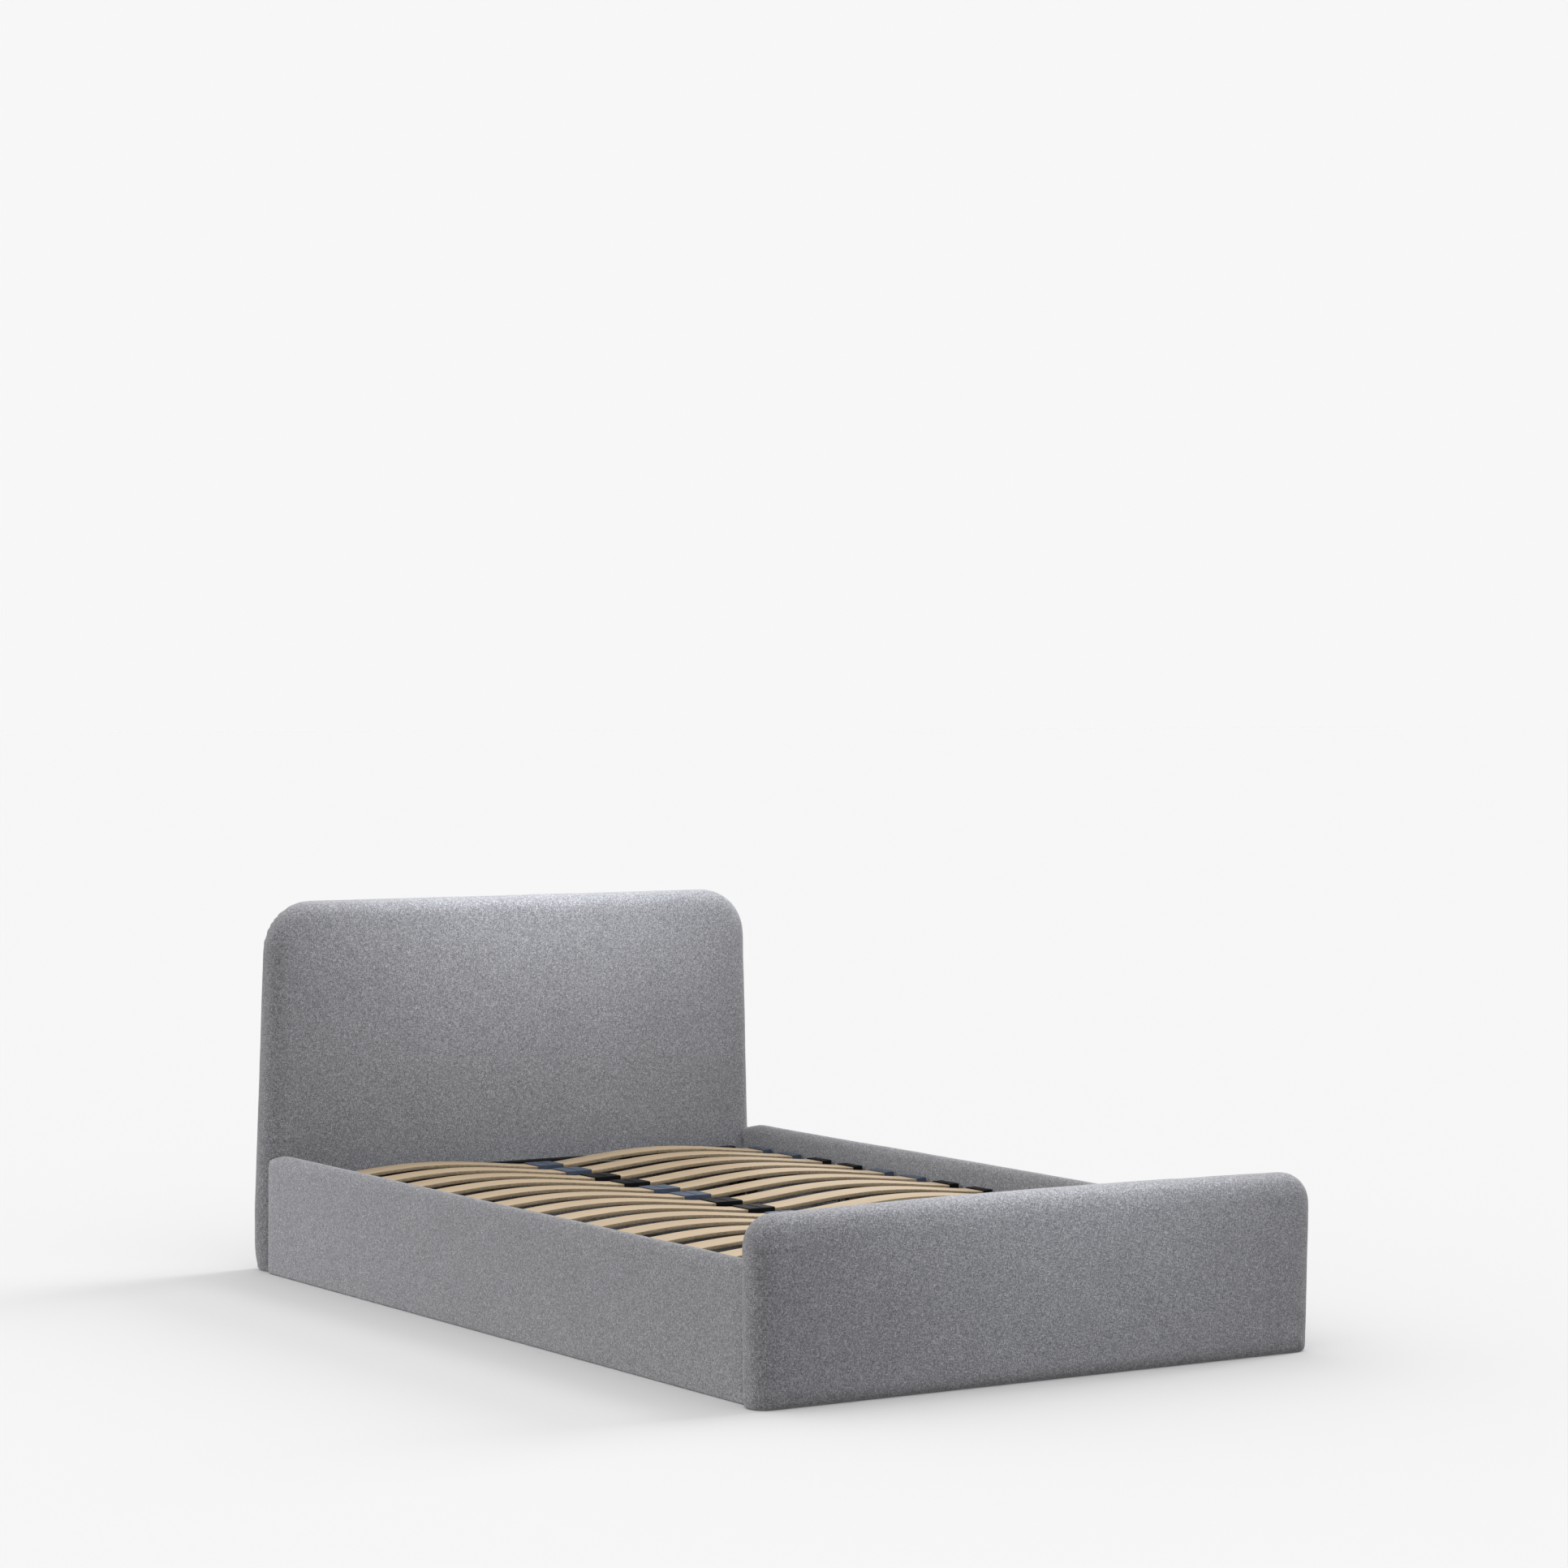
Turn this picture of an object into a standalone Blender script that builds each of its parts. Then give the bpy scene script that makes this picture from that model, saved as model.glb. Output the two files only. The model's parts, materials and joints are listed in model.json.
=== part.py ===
"""Upholstered sleigh bed with lift-up storage, for a 1.20 x 1.90 m mattress.

Metres, +Z up. X runs across the bed, Y from the footboard (-Y) to the headboard (+Y).
The origin is on the floor, under the middle of the bed's outer box.
"""

import math

import bmesh
import bpy
from mathutils import Vector

GAP = 0.0003  # left between pieces that touch

# Overall sizes
RAIL_WIDTH = 1.290  # across the two side rails, outside to outside
BAY_LENGTH = 1.935  # from the footboard to the headboard, inside
HEAD_THICK = 0.090
FOOT_THICK = 0.080
RAIL_THICK = 0.038
RAIL_TOP = 0.267
HEAD_TOP = 0.823
FOOT_TOP = 0.362
HEM = 0.003  # fabric stops this far above the floor

# Places along the bed
TOTAL_LENGTH = FOOT_THICK + BAY_LENGTH + HEAD_THICK
FOOT_FRONT = -TOTAL_LENGTH / 2
FOOT_INNER = FOOT_FRONT + FOOT_THICK
HEAD_INNER = FOOT_INNER + BAY_LENGTH
HEAD_BACK = HEAD_INNER + HEAD_THICK
BAY_MIDDLE = (FOOT_INNER + HEAD_INNER) / 2

# Places across the bed
RAIL_OUTER = RAIL_WIDTH / 2
RAIL_INNER = RAIL_OUTER - RAIL_THICK

# Headboard and footboard outlines: (half width at the floor, half width under the top corners,
# extra half width of the low bulge, top, corner radius, crown)
HEAD_SHAPE = (0.645, 0.628, 0.005, 0.823, 0.112, 0.0)
FOOT_SHAPE = (0.660, 0.664, 0.0, 0.362, 0.062, 0.006)
BULGE_Z = 0.140
BULGE_REACH = 0.090
HEAD_EDGE = 0.039
FOOT_EDGE = 0.036
BOARD_THICK = 0.018
BOARD_INSET = 0.030
BACK_RECESS = 0.004  # the headboard's board lies this far inside the pad's back
BACK_CLOTH_THICK = 0.001
BELOW_FLOOR = -0.050  # pockets are cut from here up, so that they open downwards

# Side rails
RAIL_BOARD_THICK = 0.016
RAIL_OUTER_FOAM = 0.012
RAIL_BOARD_TOP = 0.245
RAIL_END_DROP = 0.020
RAIL_END_EASE = 0.095
LEDGE_REACH = 0.027
LEDGE_HEIGHT = 0.012
FLOOR_THICK = 0.006
FLOOR_END_GAP = 0.003
BATTEN_HALF = 0.020

# Lift-up frame of steel tube
TUBE_WIDTH = 0.025
TUBE_WALL = 0.0015
TUBE_TOP = 0.205
TUBE_BOTTOM = 0.170
FRAME_HALF = 0.598
FRAME_CLEAR = 0.012  # between the frame's ends and the two boards
FRAME_HEAD = HEAD_INNER - FRAME_CLEAR
FRAME_FOOT = FOOT_INNER + FRAME_CLEAR
TUBE_MIDDLE = (TUBE_TOP + TUBE_BOTTOM) / 2

# Sprung slats and their end caps
SLAT_ROWS = 15
SLAT_PITCH = BAY_LENGTH / 15.5
SLAT_WIDTH = 0.063
SLAT_THICK = 0.008
SLAT_ARCH = 0.020
FIRST_SLAT = HEAD_INNER - 0.078 - SLAT_WIDTH / 2
STRIP_THICK = 0.002
CAP_WIDTH = 0.065
CAP_OUTER = 0.601
CAP_SIDE_INNER = 0.577
CAP_CENTRE_HALF = 0.033
CAP_END_WALL = 0.003
CAP_CENTRE_WALL = 0.008
CAP_LIP = 0.0025
CAP_CUT = 0.0005  # the strip is this much thinner between the caps
SLAT_BOTTOM = TUBE_TOP + GAP + STRIP_THICK + GAP
CAP_TOP = SLAT_BOTTOM + SLAT_THICK + GAP + CAP_LIP

# Lift hinge and gas struts, seen from the side: (along Y, along Z)
PIVOT = Vector((0.0, HEAD_INNER - 0.045, TUBE_MIDDLE))
STRUT_FOOT = PIVOT + Vector((0.0, 0.0, -0.120))
STRUT_HEAD = PIVOT + Vector((0.0, -0.450, -0.045))
STUB_RADIUS = 0.006
PLATE_THICK = 0.0037
PLATE_HALF = 0.030
PLATE_ROUND = 0.016
STRUT_X = 0.557
EYE_RADIUS = 0.011
EYE_THICK = 0.010
CYLINDER_RADIUS = 0.009
CYLINDER_LENGTH = 0.300
BORE_START = 0.110
ROD_RADIUS = 0.004
BRACKET_THICK = 0.0037
BRACKET_HALF = 0.028
BRACKET_ROUND = 0.013

# Mattress retainer on the foot tube
HOOP_HALF = 0.200
HOOP_TOP = 0.315
HOOP_CORNER = 0.050
HOOP_RADIUS = 0.005

PARTS = None
TOOLS = None


def start_collections():
    """Clear the scene and make one collection for the bed and one for the shapes that cut or join it."""
    global PARTS, TOOLS
    for obj in list(bpy.data.objects):
        bpy.data.objects.remove(obj)
    PARTS = bpy.data.collections.new("sleigh_bed")
    TOOLS = bpy.data.collections.new("cutters")
    for collection in (PARTS, TOOLS):
        bpy.context.scene.collection.children.link(collection)


def finish(name, color, roughness, metallic=0.0):
    """A plain material of one colour."""
    material = bpy.data.materials.new(name)
    material.use_nodes = True
    shader = material.node_tree.nodes["Principled BSDF"]
    shader.inputs["Base Color"].default_value = (*color, 1.0)
    shader.inputs["Roughness"].default_value = roughness
    shader.inputs["Metallic"].default_value = metallic
    return material


def add_part(name, data, material, location=(0, 0, 0), rotation=(0, 0, 0), parent=None):
    """Put one named piece in the bed's collection, at a place given in world coordinates."""
    obj = bpy.data.objects.new(name, data)
    PARTS.objects.link(obj)
    if not data.materials:
        data.materials.append(material)
    obj.location = Vector(location) - (parent.location if parent else Vector())
    obj.rotation_euler = rotation
    obj.parent = parent
    return obj


def add_tool(obj):
    """Keep a cutting or joining shape out of the finished bed."""
    for collection in list(obj.users_collection):
        collection.objects.unlink(obj)
    TOOLS.objects.link(obj)
    obj.hide_render = True
    obj.display_type = "WIRE"
    return obj


def add_empty(name, location):
    empty = bpy.data.objects.new(name, None)
    PARTS.objects.link(empty)
    empty.location = location
    return empty


# Turn a drawing made in the curve's own X and Y into the bed's upright planes
ACROSS = (math.pi / 2, 0.0, 0.0)  # drawn in X and Z, thick along Y
ALONG = (math.pi / 2, 0.0, math.pi / 2)  # drawn in Y and Z, thick along X


def outline(name, loops, thickness):
    """A flat curve through one outer loop and any holes, given its thickness."""
    curve = bpy.data.curves.new(name, "CURVE")
    curve.dimensions = "2D"
    curve.fill_mode = "BOTH"
    curve.extrude = thickness / 2
    for loop in loops:
        spline = curve.splines.new("POLY")
        spline.points.add(len(loop) - 1)
        for point, (u, v) in zip(spline.points, loop):
            point.co = (u, v, 0.0, 1.0)
        spline.use_cyclic_u = True
    return curve


def as_mesh(obj):
    """Change a curve object for a mesh object with the same name, place and parent, its flat ends one face each."""
    graph = bpy.context.evaluated_depsgraph_get()
    mesh = bpy.data.meshes.new_from_object(obj.evaluated_get(graph))
    welded = bmesh.new()
    welded.from_mesh(mesh)
    bmesh.ops.remove_doubles(welded, verts=welded.verts, dist=1e-6)
    bmesh.ops.dissolve_limit(welded, angle_limit=math.radians(0.05), verts=welded.verts, edges=welded.edges)
    bmesh.ops.recalc_face_normals(welded, faces=welded.faces)
    welded.to_mesh(mesh)
    welded.free()
    name, collection = obj.name, obj.users_collection[0]
    new = bpy.data.objects.new(name, mesh)
    collection.objects.link(new)
    new.parent = obj.parent
    new.location = obj.location
    new.rotation_euler = obj.rotation_euler
    bpy.data.objects.remove(obj)
    new.name = name
    return new


def box(name, low, high):
    """A box mesh between two corners."""
    mesh = bpy.data.meshes.new(name)
    shape = bmesh.new()
    bmesh.ops.create_cube(shape, size=1.0)
    size = Vector(high) - Vector(low)
    bmesh.ops.scale(shape, vec=size, verts=shape.verts)
    bmesh.ops.translate(shape, vec=(Vector(high) + Vector(low)) / 2, verts=shape.verts)
    shape.to_mesh(mesh)
    shape.free()
    return mesh


def cylinder_x(name, radius, x_from, x_to, centre, sides=32):
    """A round bar along X, as an object among the tools."""
    bpy.ops.mesh.primitive_cylinder_add(
        vertices=sides,
        radius=radius,
        depth=abs(x_to - x_from),
        location=((x_from + x_to) / 2, centre[1], centre[2]),
        rotation=(0, math.pi / 2, 0),
    )
    bar = bpy.context.object
    bar.name = name
    return add_tool(bar)


def boolean(obj, tool, operation, solver="EXACT"):
    change = obj.modifiers.new(operation.lower(), "BOOLEAN")
    change.operation = operation
    change.solver = solver
    change.object = tool


def round_edges(obj, width, segments, angle=40.0):
    bevel = obj.modifiers.new("round", "BEVEL")
    bevel.width = width
    bevel.segments = segments
    bevel.limit_method = "ANGLE"
    bevel.angle_limit = math.radians(angle)
    return bevel


def smooth(obj, angle=35.0):
    obj.data.shade_smooth()
    obj.data.set_sharp_from_angle(angle=math.radians(angle))


def arc(centre, radius_u, radius_v, start, end, steps):
    """Points along an elliptical arc, angles in degrees."""
    points = []
    for i in range(steps + 1):
        angle = math.radians(start + (end - start) * i / steps)
        points.append((centre[0] + radius_u * math.cos(angle), centre[1] + radius_v * math.sin(angle)))
    return points


def board_outline(shape, bottom, inset=0.0):
    """A board's outline, seen from the foot of the bed, from its right lower corner round to its left one."""
    floor_half, shoulder_half, bulge, top, corner, crown = shape
    shoulder_z = top - crown - corner
    right = [(floor_half, bottom)]
    steps = 10
    for i in range(steps):
        t = i / steps
        z = shoulder_z * t
        swell = bulge * math.exp(-(((z - BULGE_Z) / BULGE_REACH) ** 2))
        right.append((floor_half + (shoulder_half - floor_half) * t + swell, max(z, bottom + 0.001)))
    right += arc((shoulder_half - corner, shoulder_z), corner, corner, 0, 90, 10)
    flat_half = shoulder_half - corner
    crown_steps = 6
    for i in range(1, crown_steps + 1):
        x = flat_half * (1 - i / crown_steps)
        right.append((x, top - crown * (x / flat_half) ** 2))
    if inset:
        scale_x = (shoulder_half - inset) / shoulder_half
        scale_z = (top - inset) / top
        right = [(x * scale_x, z * scale_z if z > bottom else z) for x, z in right]
    return right + [(-x, z) for x, z in reversed(right) if x > 1e-6]


def pad(name, shape, thickness, edge, y, fabric):
    """A stuffed pad with round edges, cut off flat at its hem."""
    loop = board_outline(shape, HEM - 2 * edge)
    obj = as_mesh(add_part(name, outline(name, [loop], thickness), fabric, (0, y, 0), ACROSS))
    round_edges(obj, edge, 4, 60)
    below = box(f"{name}_hem", (-1.0, y - thickness, -1.0), (1.0, y + thickness, HEM))
    hem = bpy.data.objects.new(f"{name}_hem", below)
    TOOLS.objects.link(hem)
    boolean(obj, add_tool(hem), "DIFFERENCE")
    return obj


def board_in_pad(obj, name, shape, y_low, y_high, wood):
    """A board inside a pad, standing on the floor, and the pocket that it sits in."""
    middle = (0, (y_low + y_high) / 2, 0)
    thickness = y_high - y_low
    loop = board_outline(shape, 0.0, BOARD_INSET)
    as_mesh(add_part(name, outline(name, [loop], thickness), wood, middle, ACROSS))
    loop = board_outline(shape, BELOW_FLOOR, BOARD_INSET - GAP)
    pocket = outline(f"{name}_pocket", [loop], thickness + 2 * GAP)
    pocket = as_mesh(add_part(f"{name}_pocket", pocket, wood, middle, ACROSS))
    boolean(obj, add_tool(pocket), "DIFFERENCE")


def headboard(fabric, wood, cloth):
    """A padded headboard: a thick pad over a plywood board, with black cloth behind."""
    obj = pad("headboard_pad", HEAD_SHAPE, HEAD_THICK, HEAD_EDGE, HEAD_INNER + HEAD_THICK / 2, fabric)
    back = HEAD_BACK - BACK_RECESS
    board_in_pad(obj, "headboard_board", HEAD_SHAPE, back - BOARD_THICK, back, wood)
    loop = board_outline(HEAD_SHAPE, BELOW_FLOOR, BOARD_INSET - GAP)
    recess = outline("back_recess", [loop], 4 * BACK_RECESS)
    recess = as_mesh(add_part("back_recess", recess, wood, (0, HEAD_BACK + BACK_RECESS - GAP, 0), ACROSS))
    boolean(obj, add_tool(recess), "DIFFERENCE")
    smooth(obj)
    loop = board_outline(HEAD_SHAPE, 0.010, BOARD_INSET + GAP)
    sheet = outline("headboard_back_cloth", [loop], BACK_CLOTH_THICK)
    add_part("headboard_back_cloth", sheet, cloth, (0, back + GAP + BACK_CLOTH_THICK / 2, 0), ACROSS)


def footboard(fabric, wood):
    """A low padded footboard: the pad wraps both faces of a board that stands on the floor."""
    middle = (FOOT_FRONT + FOOT_INNER) / 2
    obj = pad("footboard_pad", FOOT_SHAPE, FOOT_THICK, FOOT_EDGE, middle, fabric)
    board_in_pad(obj, "footboard_board", FOOT_SHAPE, middle - BOARD_THICK / 2, middle + BOARD_THICK / 2, wood)
    smooth(obj)


def side_rail(side, sign, fabric, wood):
    """A padded side rail: a chipboard plank with a ledge for the floor panel, under a stuffed cover."""
    board_outer = RAIL_OUTER - RAIL_OUTER_FOAM
    board_inner = board_outer - RAIL_BOARD_THICK
    length = BAY_LENGTH - 2 * GAP
    plank = [
        (board_outer, 0.0),
        (board_outer, RAIL_BOARD_TOP),
        (board_inner, RAIL_BOARD_TOP),
        (board_inner, LEDGE_HEIGHT),
        (board_inner - LEDGE_REACH, LEDGE_HEIGHT),
        (board_inner - LEDGE_REACH, 0.0),
    ]
    plank = [(sign * x, z) for x, z in plank]
    name = f"{side}_rail_board"
    add_part(name, outline(name, [plank], length), wood, (0, BAY_MIDDLE, 0), ACROSS)

    half = RAIL_THICK / 2
    inner_hem = LEDGE_HEIGHT + FLOOR_THICK + 0.0025
    cover = arc((RAIL_OUTER - half, RAIL_TOP - half), half, half, 0, 180, 10)
    cover = [(RAIL_OUTER, HEM)] + cover + [
        (RAIL_INNER, inner_hem),
        (board_inner - GAP, inner_hem),
        (board_inner - GAP, RAIL_BOARD_TOP + GAP),
        (board_outer + GAP, RAIL_BOARD_TOP + GAP),
        (board_outer + GAP, HEM),
    ]
    cover = [(sign * x, z) for x, z in cover]
    name = f"{side}_rail_cover"
    obj = as_mesh(add_part(name, outline(name, [cover], length), fabric, (0, BAY_MIDDLE, 0), ACROSS))
    ease_head_end(obj, length)
    smooth(obj)


def ease_head_end(obj, length):
    """Round the rail's top down where it meets the headboard. In the mesh, -Z is towards the headboard."""
    shape = bmesh.new()
    shape.from_mesh(obj.data)
    steps = 6
    for i in range(1, steps):
        place = -length / 2 + RAIL_END_EASE * (1 - math.cos(i / steps * math.pi / 2))
        geometry = shape.verts[:] + shape.edges[:] + shape.faces[:]
        bmesh.ops.bisect_plane(shape, geom=geometry, plane_co=(0, 0, place), plane_no=(0, 0, 1))
    slot_top = RAIL_BOARD_TOP + 2 * GAP
    for vert in shape.verts:
        along = (vert.co.z + length / 2) / RAIL_END_EASE
        if along < 1.0 and vert.co.y > slot_top:
            drop = RAIL_END_DROP * (1 - math.sqrt(max(0.0, 1 - (1 - along) ** 2)))
            vert.co.y = max(slot_top, vert.co.y - drop * (vert.co.y - slot_top) / (RAIL_TOP - slot_top))
    shape.to_mesh(obj.data)
    shape.free()


def storage_floor(panel, wood):
    """Two thin floor panels on the rails' ledges and on one batten down the middle."""
    half = RAIL_OUTER - RAIL_OUTER_FOAM - RAIL_BOARD_THICK - 0.0005
    low = LEDGE_HEIGHT + GAP
    foot, head = FOOT_INNER + FLOOR_END_GAP, HEAD_INNER - FLOOR_END_GAP
    for side, x_low, x_high in (("left", -half, -GAP), ("right", GAP, half)):
        name = f"{side}_floor_panel"
        corners = ((x_low, foot, low), (x_high, head, low + FLOOR_THICK))
        add_part(name, box(name, *corners), panel)
    corners = ((-BATTEN_HALF, foot, 0.0), (BATTEN_HALF, head, LEDGE_HEIGHT))
    add_part("floor_batten", box("floor_batten", *corners), wood)


def tube_loops(width, bottom, top, middle=0.0):
    """The section of a rectangular steel tube."""
    half = width / 2
    outer = [(middle - half, bottom), (middle + half, bottom), (middle + half, top), (middle - half, top)]
    inner = [
        (middle - half + TUBE_WALL, bottom + TUBE_WALL),
        (middle + half - TUBE_WALL, bottom + TUBE_WALL),
        (middle + half - TUBE_WALL, top - TUBE_WALL),
        (middle - half + TUBE_WALL, top - TUBE_WALL),
    ]
    return [outer, inner]


def lift_frame(steel, pivot):
    """The steel frame that carries the slats and swings up about the pivot."""
    low = TUBE_BOTTOM - PIVOT.z
    high = TUBE_TOP - PIVOT.z
    frame_middle = (FRAME_HEAD + FRAME_FOOT) / 2
    frame_length = FRAME_HEAD - FRAME_FOOT
    for side, sign in (("left", -1), ("right", 1)):
        name = f"{side}_frame_tube"
        x = sign * (FRAME_HALF - TUBE_WIDTH / 2)
        tube = outline(name, tube_loops(TUBE_WIDTH, low, high), frame_length)
        tube = as_mesh(add_part(name, tube, steel, (x, frame_middle, PIVOT.z), ACROSS, pivot))
        hole = cylinder_x(f"{side}_pivot_hole", STUB_RADIUS + GAP, sign * (FRAME_HALF - 0.008),
                          sign * (FRAME_HALF + 0.008), PIVOT)
        boolean(tube, hole, "DIFFERENCE")
    inner_length = frame_length - 2 * TUBE_WIDTH - 2 * GAP
    tube = outline("centre_frame_tube", tube_loops(TUBE_WIDTH, low, high), inner_length)
    add_part("centre_frame_tube", tube, steel, (0, frame_middle, PIVOT.z), ACROSS, pivot)
    across = 2 * (FRAME_HALF - TUBE_WIDTH - GAP)
    ends = (("head", FRAME_HEAD - TUBE_WIDTH / 2), ("foot", FRAME_FOOT + TUBE_WIDTH / 2))
    for end, y in ends:
        name = f"{end}_frame_tube"
        tube = outline(name, tube_loops(TUBE_WIDTH, low, high), across)
        add_part(name, tube, steel, (0, y, PIVOT.z), ALONG, pivot)


def slat_outline(sign):
    """A sprung slat seen from the foot of the bed: flat in its caps and arched between them."""
    ends = (CAP_CENTRE_WALL / 2 + GAP, CAP_OUTER - CAP_END_WALL - GAP)
    free = (CAP_CENTRE_HALF, CAP_SIDE_INNER)
    steps = 12
    top = [(ends[0], SLAT_THICK)]
    for i in range(steps + 1):
        t = i / steps
        top.append((free[0] + (free[1] - free[0]) * t, SLAT_THICK + SLAT_ARCH * (1 - (2 * t - 1) ** 2)))
    top.append((ends[1], SLAT_THICK))
    loop = top + [(x, z - SLAT_THICK) for x, z in reversed(top)]
    return [(sign * x, z) for x, z in loop]


def slats(beech, pivot):
    """Two columns of slats, numbered from the headboard."""
    for side, sign in (("left", -1), ("right", 1)):
        mesh = outline(f"{side}_slat", [slat_outline(sign)], SLAT_WIDTH)
        for row in range(SLAT_ROWS):
            y = FIRST_SLAT - row * SLAT_PITCH
            add_part(f"{side}_slat_{row + 1:02d}", mesh, beech, (0, y, SLAT_BOTTOM), ACROSS, pivot)


def cap_section(outer, inner, wall):
    """Section of a slat cap that opens towards the slat: floor strip, end wall and top lip."""
    base = TUBE_TOP + GAP
    floor = base + STRIP_THICK
    lip = CAP_TOP - CAP_LIP
    turn = math.copysign(1.0, outer - inner)
    return [(outer, base), (outer, CAP_TOP), (inner, CAP_TOP), (inner, lip), (outer - turn * wall, lip),
            (outer - turn * wall, floor), (inner, floor), (inner, base)]


def cap_strips(plastic, pivot):
    """Three strips of slat caps: one on each side tube and a double one on the centre tube."""
    base = TUBE_TOP + GAP
    centre = cap_section(0.0, CAP_CENTRE_HALF, CAP_CENTRE_WALL / 2)[1:-1]
    sections = {
        "left": cap_section(-CAP_OUTER, -CAP_SIDE_INNER, CAP_END_WALL),
        "right": cap_section(CAP_OUTER, CAP_SIDE_INNER, CAP_END_WALL),
        "centre": centre[1:] + [(CAP_CENTRE_HALF, base), (-CAP_CENTRE_HALF, base)]
        + [(-x, z) for x, z in reversed(centre[1:])],
    }
    last = FIRST_SLAT - (SLAT_ROWS - 1) * SLAT_PITCH
    middle = (FIRST_SLAT + last) / 2
    length = FIRST_SLAT - last + CAP_WIDTH
    for side, section in sections.items():
        name = f"{side}_cap_strip"
        strip = outline(name, [[(x, z - PIVOT.z) for x, z in section]], length)
        strip = as_mesh(add_part(name, strip, plastic, (0, middle, PIVOT.z), ACROSS, pivot))
        gaps = bmesh.new()
        for row in range(SLAT_ROWS - 1):
            y = FIRST_SLAT - (row + 0.5) * SLAT_PITCH
            made = bmesh.ops.create_cube(gaps, size=1.0)["verts"]
            bmesh.ops.scale(gaps, vec=(1.4, SLAT_PITCH - CAP_WIDTH, 0.040), verts=made)
            bmesh.ops.translate(gaps, vec=(0, y, base + STRIP_THICK - CAP_CUT + 0.020), verts=made)
        mesh = bpy.data.meshes.new(f"{side}_cap_gaps")
        gaps.to_mesh(mesh)
        gaps.free()
        tool = bpy.data.objects.new(f"{side}_cap_gaps", mesh)
        TOOLS.objects.link(tool)
        # The double section has four corners in line, which the exact solver leaves open
        boolean(strip, add_tool(tool), "DIFFERENCE", "MANIFOLD")


def hinge_plate(side, sign, steel):
    """A steel plate screwed to the rail, with a stub for the frame's pivot and one for the gas strut."""
    outer = RAIL_INNER - GAP
    inner = outer - PLATE_THICK
    loop = arc((PIVOT.y, PIVOT.z), PLATE_ROUND, PLATE_ROUND, 0, 180, 8)
    loop += arc((STRUT_FOOT.y, STRUT_FOOT.z), PLATE_HALF, PLATE_ROUND, 180, 360, 8)
    name = f"{side}_hinge_plate"
    x = sign * (outer + inner) / 2
    plate = as_mesh(add_part(name, outline(name, [loop], PLATE_THICK), steel, (x, 0, 0), ALONG))
    stubs = ((PIVOT, FRAME_HALF - 0.009), (STRUT_FOOT, STRUT_X - EYE_THICK / 2 - 0.002))
    for number, (centre, reach) in enumerate(stubs):
        stub = cylinder_x(f"{side}_stub_{number + 1}", STUB_RADIUS, sign * reach, sign * (outer - 0.001), centre)
        boolean(plate, stub, "UNION")


def strut_direction():
    return (STRUT_HEAD - STRUT_FOOT).normalized()


def strut_bracket(side, sign, steel, pivot):
    """A bracket under the side tube whose short stub points at the gas strut's end."""
    outer = FRAME_HALF - TUBE_WIDTH - GAP
    inner = outer - BRACKET_THICK
    top = TUBE_TOP - 0.006
    loop = [(STRUT_HEAD.y + BRACKET_HALF, top), (STRUT_HEAD.y - BRACKET_HALF, top)]
    loop += arc((STRUT_HEAD.y, STRUT_HEAD.z), BRACKET_ROUND, BRACKET_ROUND, 180, 360, 8)
    loop = [(y - PIVOT.y, z - PIVOT.z) for y, z in loop]
    name = f"{side}_strut_bracket"
    x = sign * (outer + inner) / 2
    plate = outline(name, [loop], BRACKET_THICK)
    plate = as_mesh(add_part(name, plate, steel, (x, PIVOT.y, PIVOT.z), ALONG, pivot))
    stub = cylinder_x(f"{side}_bracket_stub", STUB_RADIUS, sign * (STRUT_X + EYE_THICK / 2 + 0.0006),
                      sign * (outer - 0.001), STRUT_HEAD)
    boolean(plate, stub, "UNION")


def turned(name, profile, material, location, rotation, parent=None, sides=24):
    """A round piece turned about its own Z from (radius, height) points."""
    mesh = bpy.data.meshes.new(name)
    shape = bmesh.new()
    verts = [shape.verts.new((radius, 0.0, height)) for radius, height in profile]
    for first, second in zip(verts, verts[1:]):
        shape.edges.new((first, second))
    shape.to_mesh(mesh)
    shape.free()
    obj = add_part(name, mesh, material, location, rotation, parent)
    screw = obj.modifiers.new("turn", "SCREW")
    screw.steps = sides
    screw.render_steps = sides
    screw.use_merge_vertices = True
    screw.merge_threshold = 1e-5
    screw.use_smooth_shade = True
    return obj


def gas_strut(side, sign, black, chrome):
    """A gas strut: a cylinder that swings on the hinge plate and a rod that slides out of it."""
    direction = strut_direction()
    length = (STRUT_HEAD - STRUT_FOOT).length
    x = Vector((sign * STRUT_X, 0, 0))
    turn = direction.to_track_quat("Z", "X").to_euler()
    body = [
        (0.0, BORE_START),
        (ROD_RADIUS + GAP, BORE_START),
        (ROD_RADIUS + GAP, CYLINDER_LENGTH),
        (CYLINDER_RADIUS - 0.001, CYLINDER_LENGTH),
        (CYLINDER_RADIUS, CYLINDER_LENGTH - 0.002),
        (CYLINDER_RADIUS, EYE_RADIUS + 0.010),
        (0.0055, EYE_RADIUS + 0.004),
        (0.0055, 0.006),
        (0.0, 0.006),
    ]
    cylinder = turned(f"{side}_strut_cylinder", body, black, STRUT_FOOT + x, turn)
    add_eye(cylinder, side, "lower", sign, STRUT_FOOT, STUB_RADIUS + GAP)
    rod = [
        (0.0, length - 0.006),
        (ROD_RADIUS, length - 0.006),
        (ROD_RADIUS, BORE_START + 0.010),
        (0.0, BORE_START + 0.010),
    ]
    rod = turned(f"{side}_strut_rod", rod, chrome, STRUT_FOOT + x, turn)
    add_eye(rod, side, "upper", sign, STRUT_HEAD, STUB_RADIUS)


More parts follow.
